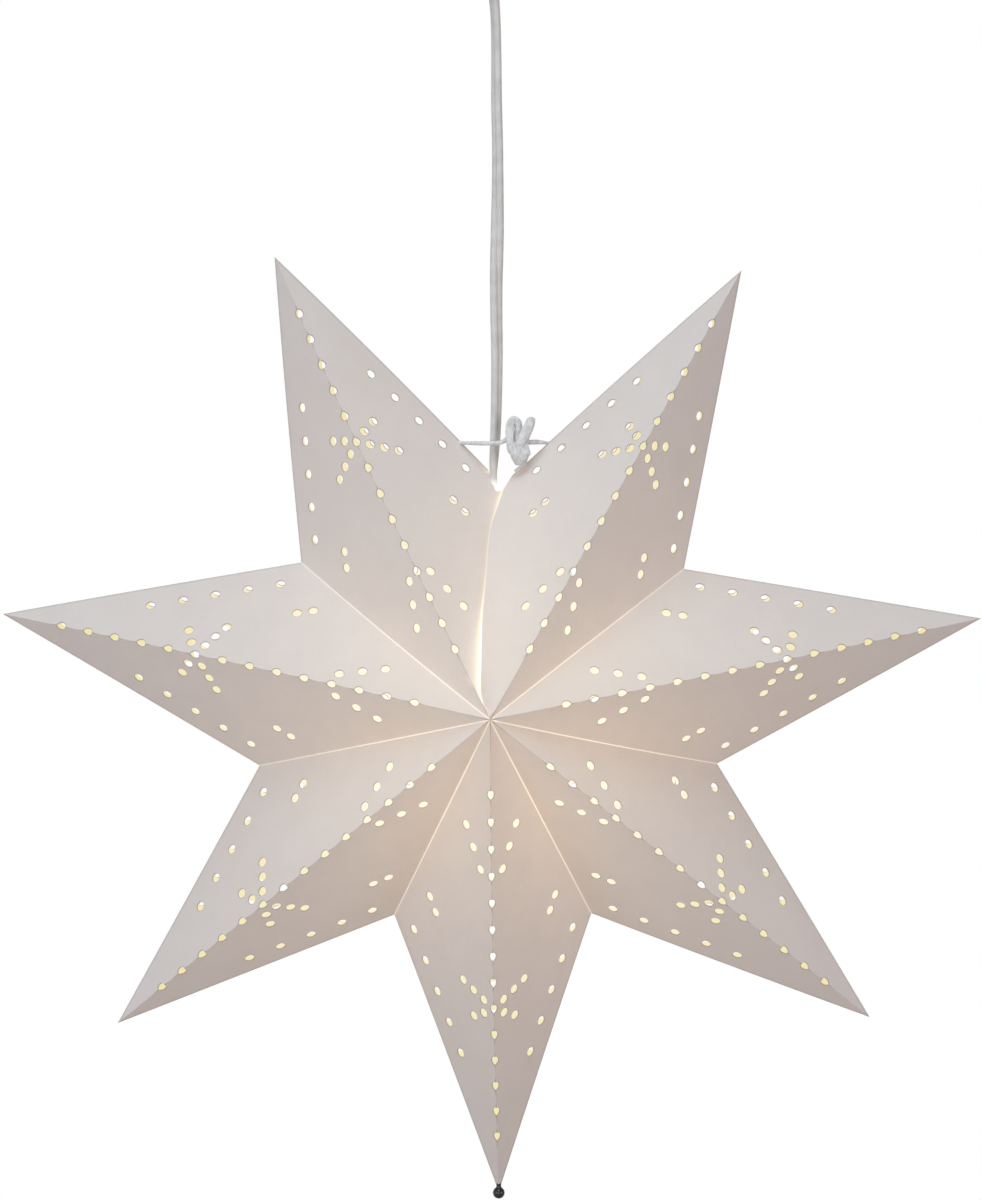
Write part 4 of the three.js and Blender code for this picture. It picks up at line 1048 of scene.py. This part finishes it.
# The card's inside, with the bulb's light painted on it as a glow: cream near it and yellower towards the
# tips
def insideMaterial():
    material, tree, shader = newMaterial("litCardInside", card["insideColor"], 0.9,
                                         Specular_IOR_Level=0.1, Emission_Strength=1.0)
    places = objectPlaces(tree)
    blendColor(tree, shader, "Emission Color", nearBulb(tree, places), card["insideGlowFar"], card["insideGlowNear"],
               card["insideSpan"])
    scale, strength, depth = card["insideGrain"]
    bump(tree, shader, noise(tree, scale, 3, places), strength, depth)
    return material


litInside = insideMaterial()
whiteCard = cardMaterial()
print("card material made")


# The place at a radius and a share of a full turn from straight up: x = r sin a, z = r cos a
def atTurn(radius, share):
    turn = 2 * math.pi * share
    return np.array([radius * math.sin(turn), 0.0, radius * math.cos(turn)])


# Points every few millimetres along straight lines between corners
def divided(corners, spacing):
    pieces = []
    for a, b in zip(corners[:-1], corners[1:]):
        a, b = np.array(a, float), np.array(b, float)
        count = max(int(round(np.linalg.norm(b - a) / spacing)), 1)
        pieces.append(a + (b - a) * (np.arange(count) / count)[:, None])
    return np.concatenate(pieces)


# A point is inside a polygon when a level line from it crosses the sides an odd number of times
def insidePolygon(points, polygon):
    x, y = points[:, :1], points[:, 1:]
    ax, ay = polygon[:, 0], polygon[:, 1]
    bx, by = np.roll(ax, -1), np.roll(ay, -1)
    crosses = (ay > y) != (by > y)
    rise = np.where(by == ay, 1.0, by - ay)
    return (crosses & (x < ax + (y - ay) * (bx - ax) / rise)).sum(axis=1) % 2 == 1


# The least distance from each point to a path: to each of its straights at the share of the way along,
# kept between 0 and 1, where the point stands square to it
def distanceToPath(points, path):
    a, b = path[:-1], path[1:]
    along = b - a
    t = np.einsum("pkc,kc->pk", points[:, None] - a[None], along) / (along**2).sum(axis=1)
    nearest = a[None] + np.clip(t, 0, 1)[..., None] * along[None]
    return np.linalg.norm(points[:, None] - nearest, axis=2).min(axis=1)


# The least distance from each point to a hole's centre
def distanceToHoles(points, centres):
    return np.linalg.norm(points[:, None] - centres[None], axis=2).min(axis=1)


# One flat facet in its own plane: the outline with a half circle bitten out at each ridge hole, a circle
# for every other hole, and a lattice of points between them, joined up by triangles. A free edge takes
# the place of the valley fold, with one more row of points along it and any rows that are given
def punchedFacet(length, valley, freeEdge=None, cut=0.0, moreRows=None):
    radius, trim, spacing = punch["radius"], star["middleTrim"], star["lattice"]
    centres, ridgeHoles = np.array(punch["face"]), np.array(punch["ridge"])
    arc = np.linspace(np.pi, 0, punch["sides"] // 2 + 1)
    halfCircle = np.stack([np.cos(arc), np.sin(arc)], axis=1)
    ridgeLine = [np.array([[trim, 0.0]])]
    place = trim
    for centre, _ in ridgeHoles:
        ridgeLine.append(divided([(place, 0), (centre - radius, 0)], spacing)[1:])
        ridgeLine.append((centre, 0) + radius * halfCircle)
        place = centre + radius
    end = length - cut
    ridgeLine.append(divided([(place, 0), (end, 0)], spacing)[1:])
    if cut:
        ridgeLine.append(np.array([[end, 0.0]]))
    tipEnd = valley + (np.array([length, 0.0]) - valley) * (1 - cut / length)
    edgeLine = divided([tipEnd, valley], spacing)
    extra = np.zeros((0, 2))
    if freeEdge is None:
        back = divided([valley, valley * (trim / np.linalg.norm(valley))], spacing)
        outline = np.vstack(ridgeLine + [edgeLine, back])
    else:
        outline = np.vstack(ridgeLine + [edgeLine, freeEdge, [[trim, trim / 2]]])
        along = np.gradient(freeEdge, axis=0)
        inwards = np.stack([-along[:, 1], along[:, 0]], axis=1) / np.linalg.norm(along, axis=1, keepdims=True)
        extra = (freeEdge + lap["rimWidth"] * inwards)[3:-6]
        if moreRows is not None:
            rows = np.vstack([moreRows, extra[:lap["mouthSteps"]]])
            keep = insidePolygon(rows, outline) & (distanceToPath(rows, outline) > lap["rowClear"])
            extra = rows[keep & (distanceToHoles(rows, centres) > radius + 2 * lap["rowClear"])]
    if np.allclose(outline[0], outline[-1]):
        outline = outline[:-1]
    ring = circle(radius, punch["sides"])
    rings = centres[:, None, :] + ring[None]
    rims = (centres[:, None, :] + ring[None] * (1 + punch["rim"] / radius)).reshape(-1, 2)
    ridgeRims = (ridgeHoles[:, None, :] + (radius + punch["rim"]) * halfCircle[None, 1:-1]).reshape(-1, 2)
    step = spacing if freeEdge is None else star["seamLattice"]
    across = np.arange(step / 2, valley[1] + 12, step * 0.866)  # rows of even triangles
    grid = np.stack(np.meshgrid(np.arange(step / 2, length, step), across), axis=-1)
    grid[1::2, :, 0] += step / 2
    grid = grid.reshape(-1, 2)
    everyHole = np.vstack([centres, ridgeHoles])
    clear = distanceToHoles(grid, everyHole) > radius + star["holeClear"]
    clear &= distanceToPath(grid, np.vstack([outline, outline[:1]])) > star["outlineClear"]
    grid = grid[clear & insidePolygon(grid, outline)]
    count = len(outline)
    loops = [np.arange(count)] + [count + k * len(ring) + np.arange(len(ring)) for k in range(len(centres))]
    edges = np.vstack([np.stack([loop, np.roll(loop, -1)], axis=1) for loop in loops])
    points = np.vstack([outline, rings.reshape(-1, 2), grid, extra, rims, ridgeRims])
    result = delaunay_2d_cdt(points.tolist(), edges.tolist(), [], 2, 1e-7)
    places = np.array([tuple(p) for p in result[0]])
    # rimShare marks a thin band round each hole, which the card material darkens as painted shade
    rimShare = np.clip(1 - (distanceToHoles(places, everyHole) - radius) / punch["rim"], 0, 1) ** 0.5
    triangles = np.array(result[2])
    triangles = triangles[distanceToHoles(places[triangles].mean(axis=1), centres) > radius * 0.99]
    a, b, c = (places[triangles[:, k]] for k in range(3))
    turnsBack = (b[:, 0] - a[:, 0]) * (c[:, 1] - a[:, 1]) - (b[:, 1] - a[:, 1]) * (c[:, 0] - a[:, 0]) < 0
    triangles[turnsBack] = triangles[turnsBack][:, ::-1]
    return places, triangles, rimShare


# Distances in the facet's plane to its ridge, its valley fold and its outer fold
def foldDistances(places, length, valley):
    toValley = np.abs(places[:, 0] * valley[1] - places[:, 1] * valley[0]) / np.linalg.norm(valley)
    outer = valley - np.array([length, 0.0])
    toEdge = np.abs((places[:, 0] - length) * outer[1] - places[:, 1] * outer[0]) / np.linalg.norm(outer)
    return np.stack([places[:, 1], toValley, toEdge], axis=1)


# How far hand folding has moved places of a facet: the drifts at its tip, its valley corner and the
# middles of its three sides, blended by their quadratic shares, with none at the star's middle
def drifted(places, length, valley, place, side):
    toValley = places[:, 1] / valley[1]
    toTip = (places[:, 0] - toValley * valley[0]) / length
    toMiddle = 1 - toTip - toValley
    own, (corner, fold) = drift["points"][place], drift["valleys"][place + side]
    amounts = [
        (toTip * (2 * toTip - 1), own["tip"]),
        (4 * toTip * toMiddle, own["ridge"]),
        (4 * toTip * toValley, own["edges"][side]),
        (toValley * (2 * toValley - 1), corner),
        (4 * toValley * toMiddle, fold),
    ]
    return sum(np.outer(share, (sideways, 0, up)) for share, (sideways, up) in amounts)


# The plane of one facet: its front corner, its ridge's direction and length, the direction across, and its
# valley corner in those two directions
def facetPlane(tip, valleyPlace, facing):
    front = np.array([0.0, -star["halfDepth"] * facing, 0.0])
    length = np.linalg.norm(tip - front)
    ridge = (tip - front) / length
    toValley = valleyPlace - front
    across = toValley - ridge * (toValley @ ridge)
    across /= np.linalg.norm(across)
    return front, ridge, length, across, np.array([toValley @ ridge, toValley @ across])


# Depth of a facet's plane at places given by x and z: the normal's dot product with the way from the front
# corner is nothing there
def planeDepth(front, ridge, across, places):
    normal = np.cross(ridge, across)
    sideways, up = places[:, 0] - front[0], places[:, 2] - front[2]
    return front[1] - (normal[0] * sideways + normal[2] * up) / normal[1]


# The right sheet laps over the left one: along its free edge it must stand in front of the left plane by
# the clearance, and beside the mouth it leans forward by the lift
def lapLifts(edge, rightPlane, leftPlane, along, facing):
    behind = (planeDepth(*rightPlane, edge) - planeDepth(*leftPlane, edge)) * facing
    growing = np.clip(along / lap["liftReach"], 0, 1) ** lap["liftPower"]
    fading = np.clip((lap["liftEnd"] - along) / lap["liftFade"], 0, 1)
    return np.maximum(behind + lap["clearance"], lap["lift"] * growing * fading)


# Light along a free edge: a thin rim whose strength follows the height on the star
def rimLight(solid, nearSeam, amounts):
    heights, strengths = np.array(amounts).T
    return np.interp(solid[:, 2], heights, strengths) * (nearSeam < lap["rimWidth"] / 2)


# Light that grazes out under the right sheet washes the left one: a narrow line and a wide halo, each
# falling off as e to minus the distance from that edge over its spread
def lapLight(solid, seamLine):
    heights, line, halo = np.array(lap["glow"]).T
    edge = seamLine[::-1]
    away = np.clip(np.interp(solid[:, 2], edge[:, 2], edge[:, 0]) - solid[:, 0], 0, None)
    lineAmount = np.interp(solid[:, 2], heights, line) * np.exp(-away / lap["lineSpread"])
    return lineAmount + np.interp(solid[:, 2], heights, halo) * np.exp(-away / lap["haloSpread"])


seamLines = {}  # the right sheet's free edge on the star's front, once its point is made


# One facet in space: its flat places are laid on the plane as front + u ridge + v across, moved by the
# drift, swelled outwards by a product of quarter sines that is nothing at every fold, and on the right
# sheet lifted towards the free edge by a power of the share of the way there
def foldedFacet(name, place, side, share, facing):
    names, shares = list(star["turnShares"]), list(star["turnShares"].values())
    tip = atTurn(star["tipRadius"], shares[place])
    front, ridge, length, across, valley = facetPlane(tip, atTurn(star["valleyRadius"], share), facing)
    isRight = place == 0 and side == 0
    isLeft = place == len(names) - 1 and side == 1
    freeEdge = moreRows = None
    if isRight or isLeft:
        bends = np.vstack([[valley], lap["right"] if isRight else lap["left"]])
        freeEdge = smoothLine(np.column_stack([bends, np.zeros(len(bends))]), lap["edgeSteps"])[:, :2]
    if isLeft:
        low, high = lap["rowSpan"]
        line = seamLines["front"]
        line = line[(line[:, 2] > low) & (line[:, 2] < high)]
        flat = np.linalg.inv(np.array([[ridge[0], across[0]], [ridge[2], across[2]]]))
        moreRows = np.vstack([(line[:, [0, 2]] - (step, 0)) @ flat.T for step in lap["rows"]])
    cut = star["tipCut"] if name == "star_point_bottom" else 0.0
    places, faces, rims = punchedFacet(length, valley, freeEdge, cut, moreRows)
    folds = foldDistances(places, length, valley)
    outward = np.cross(ridge, across)
    outward *= -np.sign(outward[1] * facing)
    window = np.clip(folds / star["bulgeReach"], 0, 1)
    swell = star["bulge"] * np.prod(np.sin(window * np.pi / 2), axis=1)
    leak = np.zeros(len(places))
    solid = front + places[:, :1] * ridge + places[:, 1:] * across
    solid += drifted(places, length, valley, place, side)
    if freeEdge is not None:
        folds[:, 1] = 50  # mm: no valley fold is near a free edge
        nearSeam = distanceToPath(places, np.vstack([freeEdge, [[0.0, 0.0]]]))
        swell *= np.clip(nearSeam / star["bulgeReach"], 0, 1)
    if isRight:
        leftTip = atTurn(star["tipRadius"], shares[-1])
        leftValley = atTurn(star["valleyRadius"], star["seamLeftTurnShare"])
        leftFront, leftRidge, _, leftAcross, _ = facetPlane(leftTip, leftValley, facing)
        edge = front + freeEdge[:, :1] * ridge + freeEdge[:, 1:] * across
        lifts = lapLifts(edge, (front, ridge, across), (leftFront, leftRidge, leftAcross), freeEdge[:, 0],
                         facing)
        lift = np.interp(places[:, 0], freeEdge[::-1, 0], lifts[::-1])
        towardsSeam = places[:, 1] / (places[:, 1] + nearSeam + 1e-6)
        solid[:, 1] -= facing * lift * towardsSeam ** lap["bend"]
        if facing > 0:
            seamLines["front"] = edge + drifted(freeEdge, length, valley, place, side)
    solid = solid + swell[:, None] * outward
    if isRight:
        leak = rimLight(solid, nearSeam, lap["rim"])
    if isLeft:
        leak = lapLight(solid, seamLines["front"]) + rimLight(solid, nearSeam, lap["mouthRim"])
    if np.dot(np.cross(ridge, across), outward) < 0:
        faces = faces[:, ::-1]
    return solid, faces, folds, leak, rims


# A point: its four facets joined along their folds, and given the card's thickness inwards
def starPoint(name, place):
    shares = list(star["turnShares"].values())
    own = shares[place]
    before = (shares[place - 1] + own) / 2 if place > 0 else star["seamRightTurnShare"]
    after = (shares[place + 1] + own) / 2 if place < len(shares) - 1 else star["seamLeftTurnShare"]
    facets, count = [], 0
    for facing in (1, -1):
        for side, share in enumerate((before, after)):
            solid, faces, *layers = foldedFacet(name, place, side, share, facing)
            facets.append((solid, faces + count, *layers))
            count += len(solid)
    solids, faces, folds, leaks, rims = zip(*facets)
    mesh = bpy.data.meshes.new(name)
    points = (np.vstack(solids) + starCentre) * mm
    mesh.from_pydata(points.tolist(), [], np.vstack(faces).tolist())
    for attributeName, kind, key, values in (
        ("foldPlaces", "FLOAT_VECTOR", "vector", np.vstack(folds)),
        ("holeRim", "FLOAT", "value", np.concatenate(rims)),
        ("lapLight", "FLOAT", "value", np.concatenate(leaks)),
    ):
        layer = mesh.attributes.new(attributeName, kind, "POINT")
        layer.data.foreach_set(key, values.astype(np.float32).ravel())
    work = bmesh.new()
    work.from_mesh(mesh)
    bmesh.ops.remove_doubles(work, verts=work.verts, dist=2e-6)
    work.to_mesh(mesh)
    work.free()
    smoothBy(mesh, 20)
    piece = addObject(name + "_card", mesh)
    wall = piece.modifiers.new("cardThickness", "SOLIDIFY")
    wall.thickness = star["thickness"] * mm
    wall.offset = -1
    wall.use_even_offset = True
    wall.material_offset = 1
    dress(piece, whiteCard)
    piece.data.materials.append(litInside)
    settle(piece, 25)
    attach(piece, "star")
    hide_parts(name)


for place, name in enumerate(star["turnShares"]):
    starPoint(name, place)
print("star points folded and punched")

# backdrop and light: places in metres

studio = {
    "floorSize": 12,
    "floorHeight": -1.3,
    "floorColor": (0.64, 0.58, 0.53),
    # the shadow shows on the floor under the lantern, and fades into plain white further off
    "shadowSpan": (1.3, 2.0),
    "whiteShares": (0.75, 1.0),
    "worldColor": (1.0, 0.71, 0.58),
    "worldStrength": 0.112,
    "aim": (0, 0, -0.42),
    # each panel's place, size, power and colour
    "panels": {
        "skyPanel": ((-0.25, -1.0, 1.5), 1.6, 27.2, (0.86, 0.99, 1.0)),
        "leftPanel": ((-1.9, -1.4, -0.3), 1.2, 14.8, (0.84, 0.93, 1.0)),
        "rightPanel": ((1.9, -1.4, -0.3), 1.2, 12.9, (1.0, 0.98, 1.0)),
        "frontPanel": ((-0.4, -2.7, -0.3), 1.0, 12, (0.98, 0.98, 1.0)),
        "backPanel": ((0.9, 2.2, 0.9), 1.2, 20, (0.98, 0.98, 1.0)),
    },
}


# One for the rays that see the backdrop itself: from the camera, by reflection or through glass
def seenRays(tree):
    rays = addNode(tree, "ShaderNodeLightPath").outputs
    mirrored = calculate(tree, "MAXIMUM", rays["Is Glossy Ray"], rays["Is Transmission Ray"])
    return calculate(tree, "MAXIMUM", rays["Is Camera Ray"], mirrored)


# Two shaders mixed by a share
def mixShaders(tree, share, first, second):
    mix = addNode(tree, "ShaderNodeMixShader")
    for socket, output in zip(mix.inputs, (share, first, second)):
        tree.links.new(output, socket)
    return mix.outputs[0]


# A pale floor that the camera sees as plain white, apart from the lantern's shadow
def floorMaterial():
    material, tree, shader = newMaterial("paleFloor", studio["floorColor"], 0.9)
    away = addNode(tree, "ShaderNodeVectorMath", operation="LENGTH")
    tree.links.new(objectPlaces(tree), away.inputs[0])
    share = mapRange(tree, away.outputs["Value"], studio["shadowSpan"], studio["whiteShares"])
    white = addNode(tree, "ShaderNodeEmission", Strength=1.0).outputs[0]
    top = mixShaders(tree, times(tree, seenRays(tree), share), shader.outputs[0], white)
    # seen from below, the floor is clear, so that it doesn't hide the lantern
    below = addNode(tree, "ShaderNodeNewGeometry").outputs["Backfacing"]
    clear = addNode(tree, "ShaderNodeBsdfTransparent").outputs[0]
    surface = mixShaders(tree, below, top, clear)
    tree.links.new(surface, tree.nodes["Material Output"].inputs["Surface"])
    return material


# the floor is a level square
half, height = studio["floorSize"] / 2, studio["floorHeight"]
floorMesh = bpy.data.meshes.new("studioFloor")
floorCorners = [(-half, -half, height), (half, -half, height), (half, half, height), (-half, half, height)]
floorMesh.from_pydata(floorCorners, [], [(0, 1, 2, 3)])
floor = addObject("studioFloor", floorMesh)
dress(floor, floorMaterial())

world = bpy.data.worlds.new("studio")
bpy.context.scene.world = world
world.use_nodes = True
worldTree = world.node_tree
background = worldTree.nodes["Background"]
background.inputs["Color"].default_value = (*studio["worldColor"], 1)
background.inputs["Strength"].default_value = studio["worldStrength"]
white = addNode(worldTree, "ShaderNodeBackground", Color=(1, 1, 1, 1), Strength=1.0).outputs[0]
sky = mixShaders(worldTree, seenRays(worldTree), background.outputs[0], white)
worldTree.links.new(sky, worldTree.nodes["World Output"].inputs["Surface"])

for name, (place, size, power, color) in studio["panels"].items():
    data = bpy.data.lights.new(name, "AREA")
    data.shape = "SQUARE"
    data.size = size
    data.energy = power
    data.color = color
    light = addObject(name, data)
    light.location = place
    towards = Vector(studio["aim"]) - Vector(place)
    light.rotation_euler = towards.to_track_quat("-Z", "Y").to_euler()

bpy.context.scene.view_settings.view_transform = "Standard"
print("studio lit")
